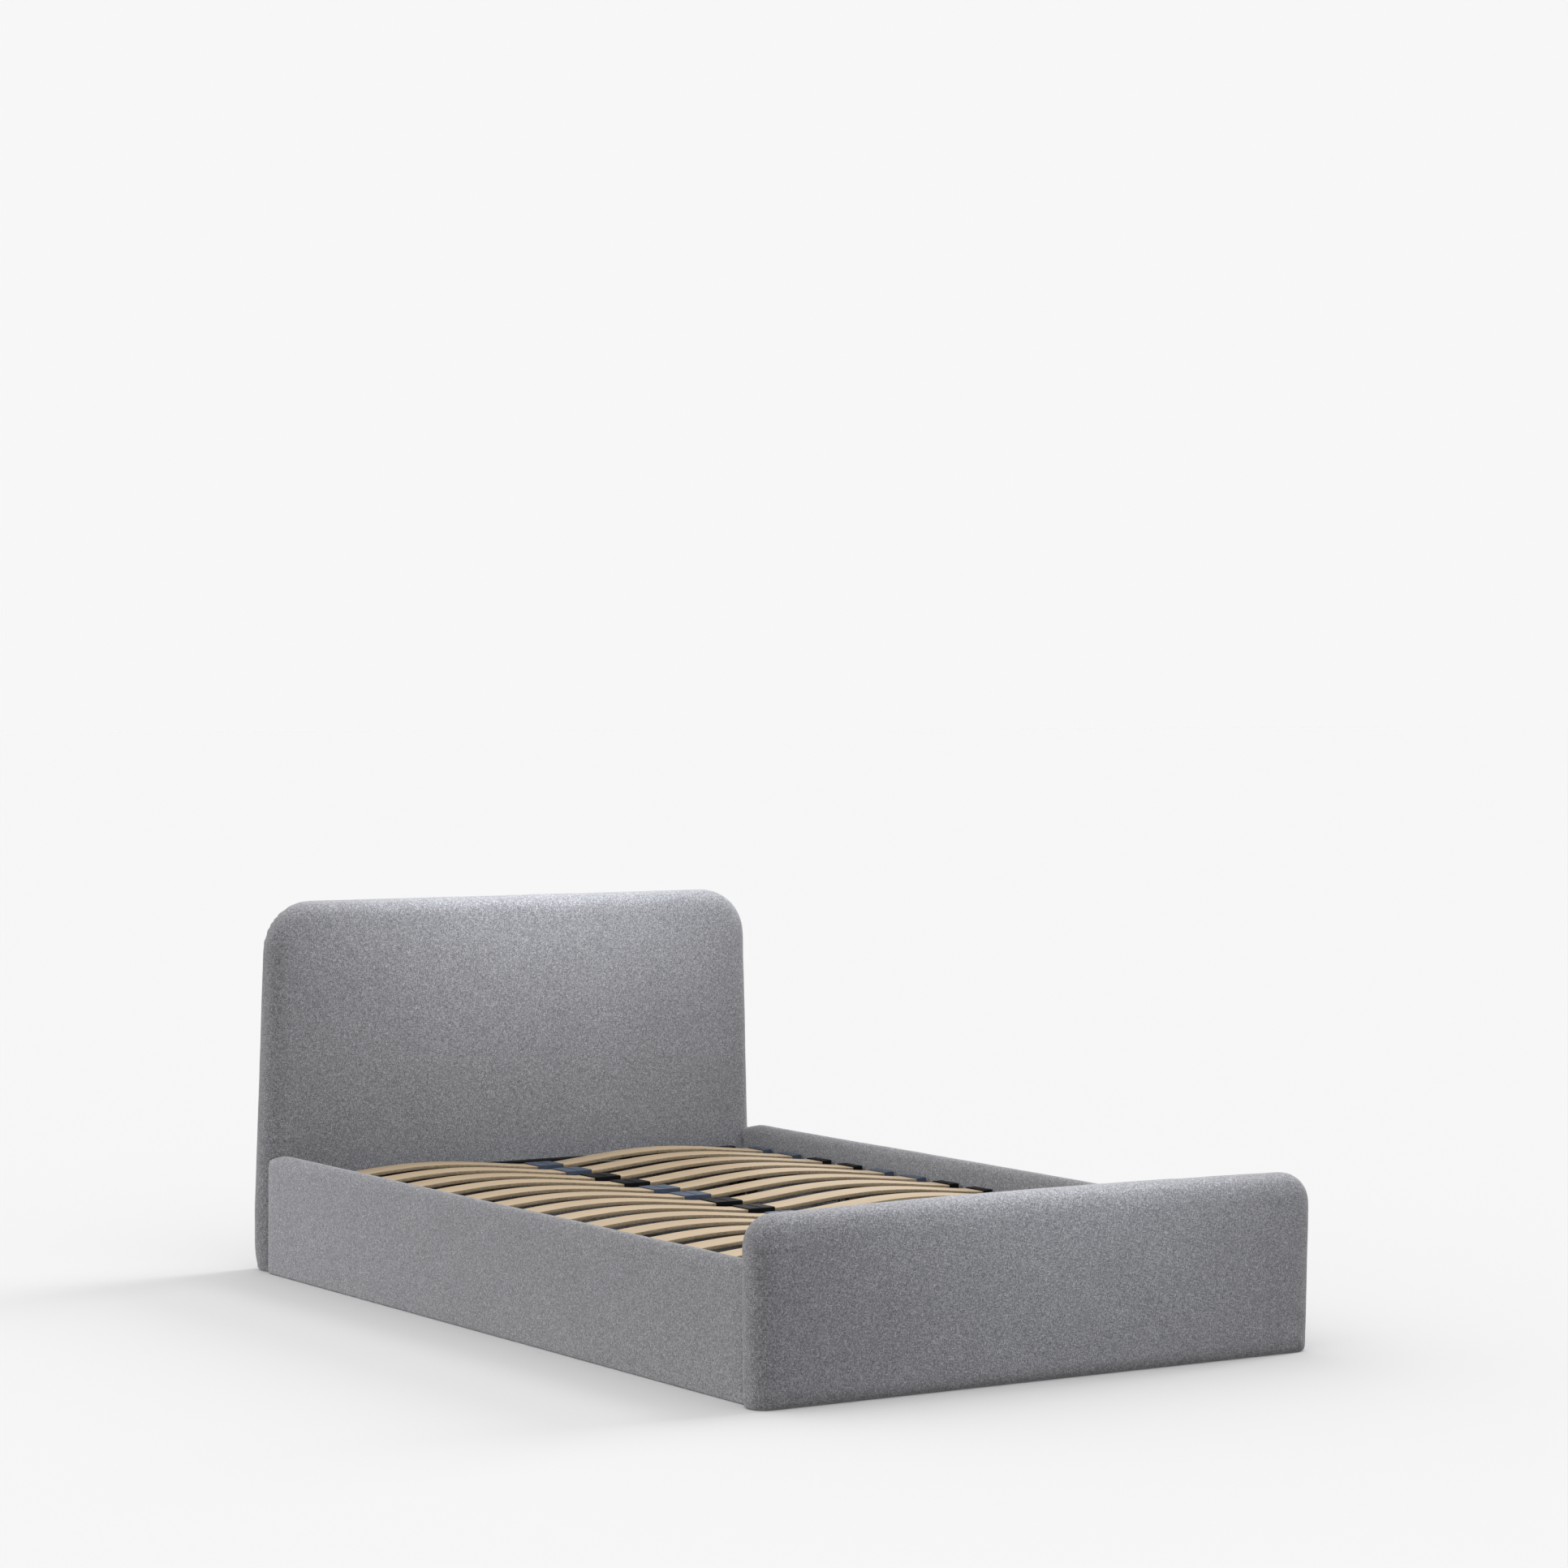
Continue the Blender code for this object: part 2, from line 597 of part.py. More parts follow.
def add_eye(obj, side, level, sign, centre, hole):
    """A round eye with a hole through it, joined to a strut's end."""
    near = sign * (STRUT_X - EYE_THICK / 2)
    far = sign * (STRUT_X + EYE_THICK / 2)
    boolean(obj, cylinder_x(f"{side}_{level}_eye", EYE_RADIUS, near, far, centre), "UNION")
    bore = cylinder_x(f"{side}_{level}_bore", hole, near - sign * 0.01, far + sign * 0.01, centre, 24)
    boolean(obj, bore, "DIFFERENCE")


def mattress_retainer(steel, pivot):
    """A hoop of round bar standing on the foot tube, which keeps the mattress on the slats."""
    foot = TUBE_TOP + GAP
    inner = HOOP_HALF - HOOP_CORNER
    knee = HOOP_TOP - HOOP_CORNER
    path = [(HOOP_HALF, foot), (HOOP_HALF, (foot + knee) / 2)]
    path += arc((inner, knee), HOOP_CORNER, HOOP_CORNER, 0, 90, 6)
    path += [(-x, z) for x, z in reversed(path)]
    curve = bpy.data.curves.new("mattress_retainer", "CURVE")
    curve.dimensions = "3D"
    curve.bevel_depth = HOOP_RADIUS
    curve.bevel_resolution = 2
    curve.use_fill_caps = True
    spline = curve.splines.new("POLY")
    spline.points.add(len(path) - 1)
    for point, (x, z) in zip(spline.points, path):
        point.co = (x, 0.0, z - PIVOT.z, 1.0)
    y = FRAME_FOOT + TUBE_WIDTH / 2
    add_part("mattress_retainer", curve, steel, (0, y, PIVOT.z), (0, 0, 0), pivot)


def main():
    start_collections()
    fabric = finish("grey_melange_fabric", (0.27, 0.27, 0.30), 0.95)
    wood = finish("board_wood", (0.52, 0.40, 0.27), 0.7)
    panel = finish("floor_panel", (0.20, 0.19, 0.18), 0.8)
    cloth = finish("back_cloth", (0.03, 0.03, 0.03), 0.95)
    steel = finish("black_steel", (0.02, 0.02, 0.022), 0.45, 0.6)
    beech = finish("beech", (0.60, 0.45, 0.31), 0.5)
    plastic = finish("cap_plastic", (0.03, 0.04, 0.06), 0.5)
    black = finish("strut_black", (0.02, 0.02, 0.02), 0.35)
    chrome = finish("strut_chrome", (0.75, 0.75, 0.76), 0.15, 1.0)
    pivot = add_empty("lift_pivot", PIVOT)

    headboard(fabric, wood, cloth)
    footboard(fabric, wood)
    for side, sign in (("left", -1), ("right", 1)):
        side_rail(side, sign, fabric, wood)
    storage_floor(panel, wood)
    lift_frame(steel, pivot)
    cap_strips(plastic, pivot)
    slats(beech, pivot)
    for side, sign in (("left", -1), ("right", 1)):
        hinge_plate(side, sign, steel)
        strut_bracket(side, sign, steel, pivot)
        gas_strut(side, sign, black, chrome)
    mattress_retainer(steel, pivot)


main()
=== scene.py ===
import json
import math

import bmesh
import bpy
from mathutils import Matrix, Vector, noise


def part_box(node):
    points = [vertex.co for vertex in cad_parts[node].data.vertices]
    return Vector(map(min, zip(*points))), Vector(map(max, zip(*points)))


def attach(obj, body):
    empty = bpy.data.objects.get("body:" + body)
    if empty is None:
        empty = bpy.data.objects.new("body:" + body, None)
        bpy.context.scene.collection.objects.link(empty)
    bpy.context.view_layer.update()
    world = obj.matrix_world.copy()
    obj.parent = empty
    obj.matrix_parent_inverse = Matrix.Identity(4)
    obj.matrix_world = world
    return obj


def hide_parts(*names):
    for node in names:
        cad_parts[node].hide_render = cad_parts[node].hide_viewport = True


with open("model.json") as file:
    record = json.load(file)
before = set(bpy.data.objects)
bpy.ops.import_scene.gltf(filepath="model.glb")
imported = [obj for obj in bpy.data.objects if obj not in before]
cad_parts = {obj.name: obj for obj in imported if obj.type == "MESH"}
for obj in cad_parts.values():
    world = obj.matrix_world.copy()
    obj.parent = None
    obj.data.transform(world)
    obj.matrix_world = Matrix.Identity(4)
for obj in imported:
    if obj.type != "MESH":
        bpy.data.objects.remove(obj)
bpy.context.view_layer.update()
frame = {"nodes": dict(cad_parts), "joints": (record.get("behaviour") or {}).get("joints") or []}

# Sizes that the frame doesn't state, in metres
SLAT_THICK = 0.008
SLAT_ROWS = 15
GAP = 0.0003  # clearance where one piece is let into another or bolted to it
YARN = 0.0021  # one thread of the upholstery cloth
HEM = 0.0005  # the covers stop this far above the floor
TUCK = 0.012  # depth over which a rail's end or a cover's hem is drawn square
HEAD_SHOULDER = 0.628  # half width of the headboard at its round top corners
HEAD_CORNER = 0.112  # radius of those corners
FOOT_CORNER = 0.062  # radius of the footboard's top corners
SETTLING_STEPS = 20  # steps in which the cloth settles over the stuffing
TUBE_WALL = 0.0015

# Places read from the frame
HEAD_LOW, HEAD_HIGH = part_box("headboard_pad")
FOOT_LOW, FOOT_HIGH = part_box("footboard_pad")
RAIL_LOW, RAIL_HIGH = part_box("left_rail_cover")
CENTRE_CAP_LOW, CENTRE_CAP_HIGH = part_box("centre_cap_strip")
SIDE_CAP_LOW, SIDE_CAP_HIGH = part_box("right_cap_strip")
SIDE_TUBE_LOW, SIDE_TUBE_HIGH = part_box("right_frame_tube")
PLATE_LOW, PLATE_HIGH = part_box("right_hinge_plate")
JOINTS = {joint["name"]: joint for joint in frame["joints"]}
PIVOT = Vector(JOINTS["frame_lift"]["pos_m"])
ROLL = (RAIL_HIGH.x - RAIL_LOW.x) / 2  # radius of the rails' rounded top


# ---------------------------------------------------------------- finishes


class Value:
    """A number that varies over a surface. Sums on it add Math nodes to its finish."""

    def __init__(self, finish, socket):
        self.finish = finish
        self.socket = socket

    def math(self, operation, *others):
        return self.finish.node("ShaderNodeMath", {"operation": operation}, {
            number: other for number, other in enumerate((self, *others))})

    def __add__(self, other):
        return self.math("ADD", other)

    def __mul__(self, other):
        return self.math("MULTIPLY", other)

    def __sub__(self, other):
        return self.math("SUBTRACT", other)

    def __rsub__(self, other):
        return (self * -1.0) + other

    def __gt__(self, other):
        return self.math("GREATER_THAN", other)

    def __abs__(self):
        return self.math("ABSOLUTE")

    def sine(self):
        return self.math("SINE")

    def higher(self, other):
        return self.math("MAXIMUM", other)

    def band(self, low, high):
        """0 below low, 1 above high and smooth between them."""
        return self.finish.node("ShaderNodeMapRange", {"interpolation_type": "SMOOTHSTEP"}, {
            "Value": self, "From Min": low, "From Max": high})


class Finish:
    """A material with a Principled shader, and the nodes that drive it."""

    def __init__(self, name, **constants):
        self.material = bpy.data.materials.new(name)
        self.material.use_nodes = True
        self.tree = self.material.node_tree
        self.shader = self.tree.nodes["Principled BSDF"]
        for socket, value in constants.items():
            self.shader.inputs[socket.replace("_", " ")].default_value = value

    def node(self, kind, settings, inputs, output=0):
        """Add a node: its settings first, then the value or link of each input."""
        node = self.tree.nodes.new(kind)
        stops = settings.get("stops")
        for name, value in settings.items():
            if name != "stops":
                setattr(node, name, value)
        if stops:
            ramp = node.color_ramp
            while len(ramp.elements) < len(stops):
                ramp.elements.new(0.5)
            for element, (place, color) in zip(ramp.elements, stops):
                element.position = place
                element.color = (*color, 1.0)
        for name, value in inputs.items():
            if isinstance(value, Value):
                self.tree.links.new(value.socket, node.inputs[name])
            else:
                node.inputs[name].default_value = value
        return Value(self, node.outputs[output])

    def place(self):
        return self.node("ShaderNodeTexCoord", {}, {}, "Object")

    def laid(self, uv):
        return self.node("ShaderNodeUVMap", {"uv_map": uv}, {})

    def along(self, vector, axis):
        return self.node("ShaderNodeSeparateXYZ", {}, {0: vector}, axis)

    def stretched(self, vector, scale):
        return self.node("ShaderNodeVectorMath", {"operation": "MULTIPLY"}, {0: vector, 1: scale})

    def cloud(self, vector, scale, detail=2.0, roughness=0.5):
        return self.node("ShaderNodeTexNoise", {}, {
            "Vector": vector, "Scale": scale, "Detail": detail, "Roughness": roughness})

    def speck(self, vector):
        return self.node("ShaderNodeTexWhiteNoise", {}, {"Vector": vector})

    def ramp(self, value, stops):
        return self.node("ShaderNodeValToRGB", {"stops": stops}, {0: value})

    def mixed(self, factor, first, second, blend="MIX"):
        return self.node("ShaderNodeMix", {"data_type": "RGBA", "blend_type": blend}, {
            0: factor, 6: first, 7: second}, 2)

    def color(self, value):
        self.tree.links.new(value.socket, self.shader.inputs["Base Color"])

    def roughness(self, value):
        self.tree.links.new(value.socket, self.shader.inputs["Roughness"])

    def bump(self, height, distance, strength=1.0):
        bumped = self.node("ShaderNodeBump", {}, {
            "Height": height, "Distance": distance, "Strength": strength})
        self.tree.links.new(bumped.socket, self.shader.inputs["Normal"])


def melange_cloth():
    """Grey plain-weave cloth of flecked yarn, with painted shade where the weave sinks between the
    threads. It follows the cloth map, in metres.
    """
    finish = Finish("grey_melange_cloth", Roughness=0.93, Sheen_Weight=0.25, Sheen_Roughness=0.55,
                    Specular_IOR_Level=0.25)
    laid = finish.laid("cloth")
    threads = finish.stretched(laid, (1 / YARN, 1 / YARN, 0.0))
    warp = (finish.along(threads, 0) * math.pi).sine()
    weft = (finish.along(threads, 1) * math.pi).sine()
    over = warp * weft
    height = (abs(warp) * (over * 0.5 + 0.5)).higher(abs(weft) * (0.5 - over * 0.5))
    warp_fleck = finish.cloud(finish.stretched(threads, (0.9, 0.22, 1.0)), 1.0, 1.0)
    weft_fleck = finish.cloud(finish.stretched(threads, (0.22, 0.9, 1.0)), 1.0, 1.0)
    on_top = over > 0.0
    streak = warp_fleck * on_top + weft_fleck * (1.0 - on_top)
    cell = finish.node("ShaderNodeVectorMath", {"operation": "FLOOR"}, {0: threads})
    fleck = finish.speck(cell)
    tone = streak * 0.62 + fleck * 0.38
    patch = finish.cloud(laid, 7.0, 3.0) * 0.07 + finish.cloud(laid, 60.0, 2.0) * 0.08
    yarn = finish.ramp(tone + patch - 0.075, [
        (0.18, (0.083, 0.082, 0.091)),
        (0.40, (0.172, 0.171, 0.184)),
        (0.60, (0.258, 0.257, 0.273)),
        (0.85, (0.46, 0.458, 0.475)),
    ])
    # painted shade: the yarn colour is darkened by up to a third where the weave sinks between the
    # threads
    weave_gap_shade = height.band(0.05, 0.55) * 0.35 + 0.65
    shade = finish.node("ShaderNodeCombineColor", {}, {0: weave_gap_shade, 1: weave_gap_shade, 2: weave_gap_shade})
    finish.color(finish.mixed(1.0, yarn, shade, "MULTIPLY"))
    finish.bump(height + streak * 0.5, 0.0007, 0.55)
    return finish.material


def beech_face():
    """Lacquered beech veneer with fine pores and ray flecks along the slat."""
    finish = Finish("beech_face", Roughness=0.48)
    place = finish.place()
    grain = finish.cloud(finish.stretched(place, (5.0, 130.0, 130.0)), 1.0, 5.0, 0.6)
    pores = finish.cloud(finish.stretched(place, (90.0, 900.0, 900.0)), 1.0, 2.0)
    board = finish.cloud(finish.stretched(place, (0.8, 9.0, 0.0)), 1.0, 0.0)
    tone = grain * 0.55 + board * 0.35 + 0.05
    wood = finish.ramp(tone, [
        (0.25, (0.42, 0.310, 0.190)),
        (0.50, (0.485, 0.370, 0.236)),
        (0.75, (0.545, 0.427, 0.285)),
    ])
    dark = finish.ramp(tone, [(0.0, (0.36, 0.22, 0.12)), (1.0, (0.46, 0.31, 0.18))])
    finish.color(finish.mixed(pores.band(0.60, 0.72) * 0.55, wood, dark))
    finish.roughness(grain * 0.14 + 0.42)
    finish.bump(grain * 0.5 + pores, 0.0002, 0.35)
    return finish.material


def beech_edge():
    """The sawn edge of a laminated slat: thin plies with darker glue lines and torn grain."""
    finish = Finish("beech_edge", Roughness=0.7)
    place = finish.place()
    height = finish.along(finish.laid("ply"), 1)
    plies = (height * (2 * math.pi * 7 / SLAT_THICK)).sine()
    torn = finish.cloud(finish.stretched(place, (160.0, 400.0, 420.0)), 1.0, 4.0, 0.7)
    streak = finish.cloud(finish.stretched(place, (16.0, 60.0, 500.0)), 1.0, 2.0)
    tone = torn * 0.62 + streak * 0.28 + plies * 0.07
    finish.color(finish.ramp(tone, [
        (0.28, (0.15, 0.105, 0.062)),
        (0.38, (0.38, 0.285, 0.180)),
        (0.58, (0.58, 0.460, 0.310)),
    ]))
    finish.bump(torn + plies * 0.2, 0.0004, 0.5)
    return finish.material


def moulded(name, low, high, shine):
    """Moulded plastic with a fine spark-eroded grain and faint scuffs."""
    finish = Finish(name, Roughness=0.45, Specular_IOR_Level=shine)
    place = finish.place()
    scuffs = finish.cloud(finish.stretched(place, (30.0, 180.0, 60.0)), 1.0, 3.0)
    finish.color(finish.ramp(scuffs, [(0.3, low), (0.75, high)]))
    finish.roughness(scuffs * 0.25 + 0.34)
    finish.bump(finish.cloud(place, 1500.0, 1.0), 0.0002, 0.3)
    return finish.material


def powder_coat():
    """Black powder coat: a slight orange peel and rubbed patches."""
    finish = Finish("black_powder_coat", Roughness=0.42, Coat_Weight=0.12, Coat_Roughness=0.3)
    place = finish.place()
    peel = finish.cloud(place, 420.0, 2.0)
    rubbed = finish.cloud(place, 26.0, 4.0, 0.65)
    finish.color(finish.ramp(rubbed, [
        (0.35, (0.012, 0.012, 0.013)), (0.75, (0.030, 0.030, 0.031))]))
    finish.roughness(rubbed.band(0.35, 0.8) * 0.2 + 0.34)
    finish.bump(peel, 0.0003, 0.35)
    return finish.material


def plain_metal(name, color, roughness, metallic=1.0):
    """Bare or plated metal with fine turning marks."""
    finish = Finish(name, Metallic=metallic, Roughness=roughness)
    place = finish.place()
    marks = finish.cloud(finish.stretched(place, (700.0, 60.0, 700.0)), 1.0, 2.0)
    bright = tuple(min(1.0, channel * 1.12) for channel in color)
    finish.color(finish.ramp(marks, [(0.3, color), (0.7, bright)]))
    finish.roughness(marks * 0.12 + roughness - 0.05)
    return finish.material


def raw_board():
    """Chipboard and softwood: pale flakes of several tones."""
    finish = Finish("raw_board", Roughness=0.8)
    place = finish.place()
    flakes = finish.node("ShaderNodeTexVoronoi", {}, {
        "Vector": finish.stretched(place, (260.0, 140.0, 260.0)), "Scale": 1.0}, "Color")
    fibres = finish.cloud(finish.stretched(place, (500.0, 60.0, 500.0)), 1.0, 3.0)
    tone = finish.along(flakes, 0) * 0.5 + fibres * 0.5
    finish.color(finish.ramp(tone, [
        (0.2, (0.30, 0.205, 0.120)), (0.5, (0.50, 0.375, 0.240)), (0.8, (0.64, 0.51, 0.35))]))
    finish.bump(tone, 0.0004, 0.4)
    return finish.material


def hardboard():
    """Dark laminated hardboard with a faint woven print."""
    finish = Finish("storage_hardboard", Roughness=0.62)
    place = finish.place()
    fibres = finish.cloud(finish.stretched(place, (90.0, 30.0, 90.0)), 1.0, 5.0, 0.65)
    linen = (finish.along(place, 0) * 2200.0).sine() * (finish.along(place, 1) * 2200.0).sine()
    finish.color(finish.ramp(fibres + linen * 0.05, [
        (0.30, (0.050, 0.047, 0.044)), (0.70, (0.095, 0.090, 0.084))]))
    finish.bump(linen + fibres, 0.0002, 0.3)
    return finish.material


def spun_bonded():
    """Black spun-bonded cloth: a mat of fibres pressed with rows of small dots, with painted shade of
    creases.
    """
    finish = Finish("black_spun_bonded_cloth", Roughness=0.9, Sheen_Weight=0.3)
    place = finish.place()
    across = (finish.along(place, 0) * 1400.0).sine()
    up = (finish.along(place, 2) * 1400.0).sine()
    dots = (across * up).band(0.4, 0.8)
    fibres = finish.cloud(place, 900.0, 4.0, 0.75)
    # painted shade: broad blotches darken and lighten the colour, standing in for shade on creases
    crease_shade_blotches = finish.cloud(place, 9.0, 4.0)
    finish.color(finish.ramp(fibres * 0.6 + crease_shade_blotches * 0.4, [
        (0.3, (0.010, 0.010, 0.011)), (0.7, (0.034, 0.034, 0.036))]))
    finish.bump(fibres - dots * 0.6, 0.0003, 0.5)
    return finish.material


def studio_floor():
    """A plain pale floor."""
    return Finish("studio_floor", Roughness=1.0, Specular_IOR_Level=0.0,
                  Base_Color=(0.68, 0.68, 0.68, 1.0)).material


# ---------------------------------------------------------------- making pieces


def add_piece(name, data, material, body, replaced=()):
    """Put a finished piece in the scene, on its body."""
    piece = bpy.data.objects.new(name, data)
    bpy.context.scene.collection.objects.link(piece)
    if material and not data.materials:
        data.materials.append(material)
    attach(piece, body)
    if replaced:
        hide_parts(*replaced)
    return piece


def mesh_from(shape, name, angle=35.0):
    """A mesh from a bmesh, smooth except at edges sharper than the angle."""
    bmesh.ops.recalc_face_normals(shape, faces=shape.faces)
    mesh = bpy.data.meshes.new(name)
    shape.to_mesh(mesh)
    shape.free()
    mesh.shade_smooth()
    mesh.set_sharp_from_angle(angle=math.radians(angle))
    return mesh


def applied(name, mesh, *modifiers):
    """The mesh after some modifiers, each given as (type, settings)."""
    carrier = bpy.data.objects.new(name, mesh)
    bpy.context.scene.collection.objects.link(carrier)
    for kind, settings in modifiers:
        modifier = carrier.modifiers.new(kind.lower(), kind)
        for key, value in settings.items():
            setattr(modifier, key, value)
    graph = bpy.context.evaluated_depsgraph_get()
    result = bpy.data.meshes.new_from_object(carrier.evaluated_get(graph))
    bpy.data.objects.remove(carrier)
    result.name = name
    return result


def merged_copy(node):
    """A CAD node's shape with its loose triangles joined and its flat faces whole."""
    shape = bmesh.new()
    shape.from_mesh(frame["nodes"][node].data)
    bmesh.ops.remove_doubles(shape, verts=shape.verts, dist=1e-5)
    bmesh.ops.dissolve_limit(shape, angle_limit=math.radians(0.1), verts=shape.verts,
                             edges=shape.edges)
    return shape


def sharp_edges(shape, angle):
    """The edges that two faces share at more than an angle."""
    return [edge for edge in shape.edges
            if edge.is_manifold and edge.calc_face_angle(0.0) > math.radians(angle)]


def cut_across(shape, place, normal):
    """Add a row of edges where a plane crosses the shape."""
    geometry = shape.verts[:] + shape.edges[:] + shape.faces[:]
    bmesh.ops.bisect_plane(shape, geom=geometry, plane_co=place, plane_no=normal, dist=1e-6)


def add_box(shape, low, high, ease=0.0, segments=2):
    """Add a box between two corners, with eased edges."""
    low, high = Vector(low), Vector(high)
    verts = bmesh.ops.create_cube(shape, size=1.0)["verts"]
    bmesh.ops.scale(shape, vec=high - low, verts=verts)
    bmesh.ops.translate(shape, vec=(low + high) / 2, verts=verts)
    if ease:
        edges = list({edge for vert in verts for edge in vert.link_edges})
        round_off(shape, edges, ease, segments)
    return verts


def round_off(shape, edges, width, segments):
    bmesh.ops.bevel(shape, geom=edges, offset=width, offset_type="OFFSET", affect="EDGES",
                    segments=segments, profile=0.5, material=-1, clamp_overlap=True)


def add_rod(shape, radius, start, end, sides=20, top_radius=None):
    """Add a round bar, or a cone, between two points."""
    start, end = Vector(start), Vector(end)
    direction = end - start
    made = bmesh.ops.create_cone(shape, cap_ends=True, segments=sides, radius1=radius,
                                 radius2=radius if top_radius is None else top_radius,
                                 depth=direction.length)["verts"]
    turn = direction.to_track_quat("Z", "X").to_matrix()
    bmesh.ops.rotate(shape, matrix=turn, verts=made)
    bmesh.ops.translate(shape, vec=(start + end) / 2, verts=made)
    return made


def softened(node, material, body, width, segments=2):
    """A CAD node's shape with its corners rounded off, shown in the node's place."""
    shape = merged_copy(node)
    round_off(shape, sharp_edges(shape, 30.0), width, segments)
    add_piece(f"{node}_rounded", mesh_from(shape, node), material, body, [node])


def smoothstep(low, high, value):
    t = min(1.0, max(0.0, (value - low) / (high - low)))
    return t * t * (3 - 2 * t)


# ---------------------------------------------------------------- upholstery


def pad_start(node, voxel, shrink):
    """The closed, slightly undersized form that a pad's cloth starts from."""
    source = merged_copy(node)
    shape = bmesh.new()
    for vert in source.verts:
        shape.verts.new(vert.co)
    source.free()
    bmesh.ops.convex_hull(shape, input=shape.verts)
    unused = [vert for vert in shape.verts if not vert.link_faces]
    bmesh.ops.delete(shape, geom=unused, context="VERTS")
    mesh = applied(node, mesh_from(shape, node), ("REMESH", {"mode": "VOXEL", "voxel_size": voxel}))
    shape = bmesh.new()
    shape.from_mesh(mesh)
    for _ in range(2):
        bmesh.ops.smooth_vert(shape, verts=shape.verts, factor=0.5, use_axis_x=True, use_axis_y=True,
                              use_axis_z=True)
    shape.normal_update()
    for vert in shape.verts:
        vert.co -= vert.normal * shrink
    return mesh_from(shape, node, 180.0)


def inflated(mesh, held, pressure, cap):
    """The mesh after its cloth has settled over the stuffing.

    held says how firmly a point is fixed down, and no point moves further than the cap."""
    scene = bpy.context.scene
    carrier = bpy.data.objects.new(mesh.name, mesh)
    scene.collection.objects.link(carrier)
    group = carrier.vertex_groups.new(name="held")
    for vert in mesh.vertices:
        weight = held(vert.co)
        if weight > 0.0:
            group.add([vert.index], weight, "REPLACE")
    cloth = carrier.modifiers.new("cloth", "CLOTH")
    cloth.settings.quality = 4
    cloth.settings.mass = 0.4
    cloth.settings.tension_stiffness = 25.0
    cloth.settings.compression_stiffness = 25.0
    cloth.settings.bending_stiffness = 4.0
    cloth.settings.use_pressure = True
    cloth.settings.uniform_pressure_force = pressure
    cloth.settings.vertex_group_mass = "held"
    cloth.settings.effector_weights.gravity = 0.0
    cloth.point_cache.frame_end = SETTLING_STEPS
    for number in range(1, SETTLING_STEPS + 1):
        scene.frame_set(number)
    graph = bpy.context.evaluated_depsgraph_get()
    settled = bpy.data.meshes.new_from_object(carrier.evaluated_get(graph))
    bpy.data.objects.remove(carrier)
    scene.frame_set(1)
    for vert, start in zip(settled.vertices, mesh.vertices):
        move = vert.co - start.co
        outward = move.dot(start.normal)
        if outward < 0.0:
            move -= start.normal * outward * 0.85
        vert.co = start.co + move * (cap / (cap + move.length))
    return settled


def fitted(shape, low, high, square_ends):
    """Bring the shape to a box, and tuck its ends square where they meet the boards."""
    places = [vert.co for vert in shape.verts]
    for axis in range(3):
        first = min(place[axis] for place in places)
        scale = (high[axis] - low[axis]) / (max(place[axis] for place in places) - first)
        for place in places:
            place[axis] = low[axis] + (place[axis] - first) * scale
    for place in places:
        inside = place.z - low.z
        if inside < TUCK:
            place.z = low.z + inside * inside / TUCK
        for end, direction in ((low.y, 1), (high.y, -1)) if square_ends else ():
            inside = (place.y - end) * direction
            if inside < TUCK:
                place.y = end + direction * inside ** 3 / TUCK ** 2


def board_cutter(node):
    """The board's own shape with clearance all round, which cuts the pocket that it fills."""
    low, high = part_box(node)
    middle = (low + high) / 2
    wider = Vector([(side + 2 * GAP) / side for side in high - low])
    shape = merged_copy(node)
    bmesh.ops.translate(shape, vec=-middle, verts=shape.verts)
    bmesh.ops.scale(shape, vec=wider, verts=shape.verts)
    bmesh.ops.translate(shape, vec=middle, verts=shape.verts)
    cutter = bpy.data.objects.new("board_pocket", mesh_from(shape, "board_pocket"))
    bpy.context.scene.collection.objects.link(cutter)
    return cutter


def lay_cloth(mesh, map_cloth):
    """Give the mesh its cloth map, in metres."""
    layer = mesh.uv_layers.new(name="cloth")
    for polygon in mesh.polygons:
        back = polygon.normal.y > 0.7
        for loop, vert in zip(polygon.loop_indices, polygon.vertices):
            layer.data[loop].uv = map_cloth(mesh.vertices[vert].co, back)


def upholstered(node, board, voxel, held, detail, map_cloth, cloth, beyond, pressure=4.0, cap=0.0022):
    """A padded piece in a CAD solid's place: settled cloth, then its folds, then the board's pocket.

    beyond says how far it stands out past the solid at its foot end and head end."""
    mesh = inflated(pad_start(node, voxel, 0.0015), held, pressure, cap)
    mesh = applied(node, mesh, ("SUBSURF", {"levels": 1, "render_levels": 1}))
    shape = bmesh.new()
    shape.from_mesh(mesh)
    shape.normal_update()
    for vert in shape.verts:
        vert.co += vert.normal * detail(vert.co, vert.normal)
    low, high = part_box(node)
    fitted(shape, Vector((low.x, low.y - beyond[0], HEM)), Vector((high.x, high.y + beyond[1], high.z)),
           node.endswith("rail_cover"))
    cutter = board_cutter(board)
    mesh = applied(node, mesh_from(shape, node, 180.0), ("BOOLEAN", {
        "operation": "DIFFERENCE", "solver": "MANIFOLD", "object": cutter}))
    bpy.data.objects.remove(cutter)
    lay_cloth(mesh, map_cloth)
    mesh.shade_smooth()
    mesh.set_sharp_from_angle(angle=math.radians(50.0))
    mesh.materials.clear()
    piece = add_piece(f"{node}_upholstery", mesh, cloth, "base", [node])


def unevenness(place):
    """Foam under stretched cloth is never quite flat."""
    return 0.0007 * noise.noise(place * 5.0) + 0.00035 * noise.noise(place * 17.0)


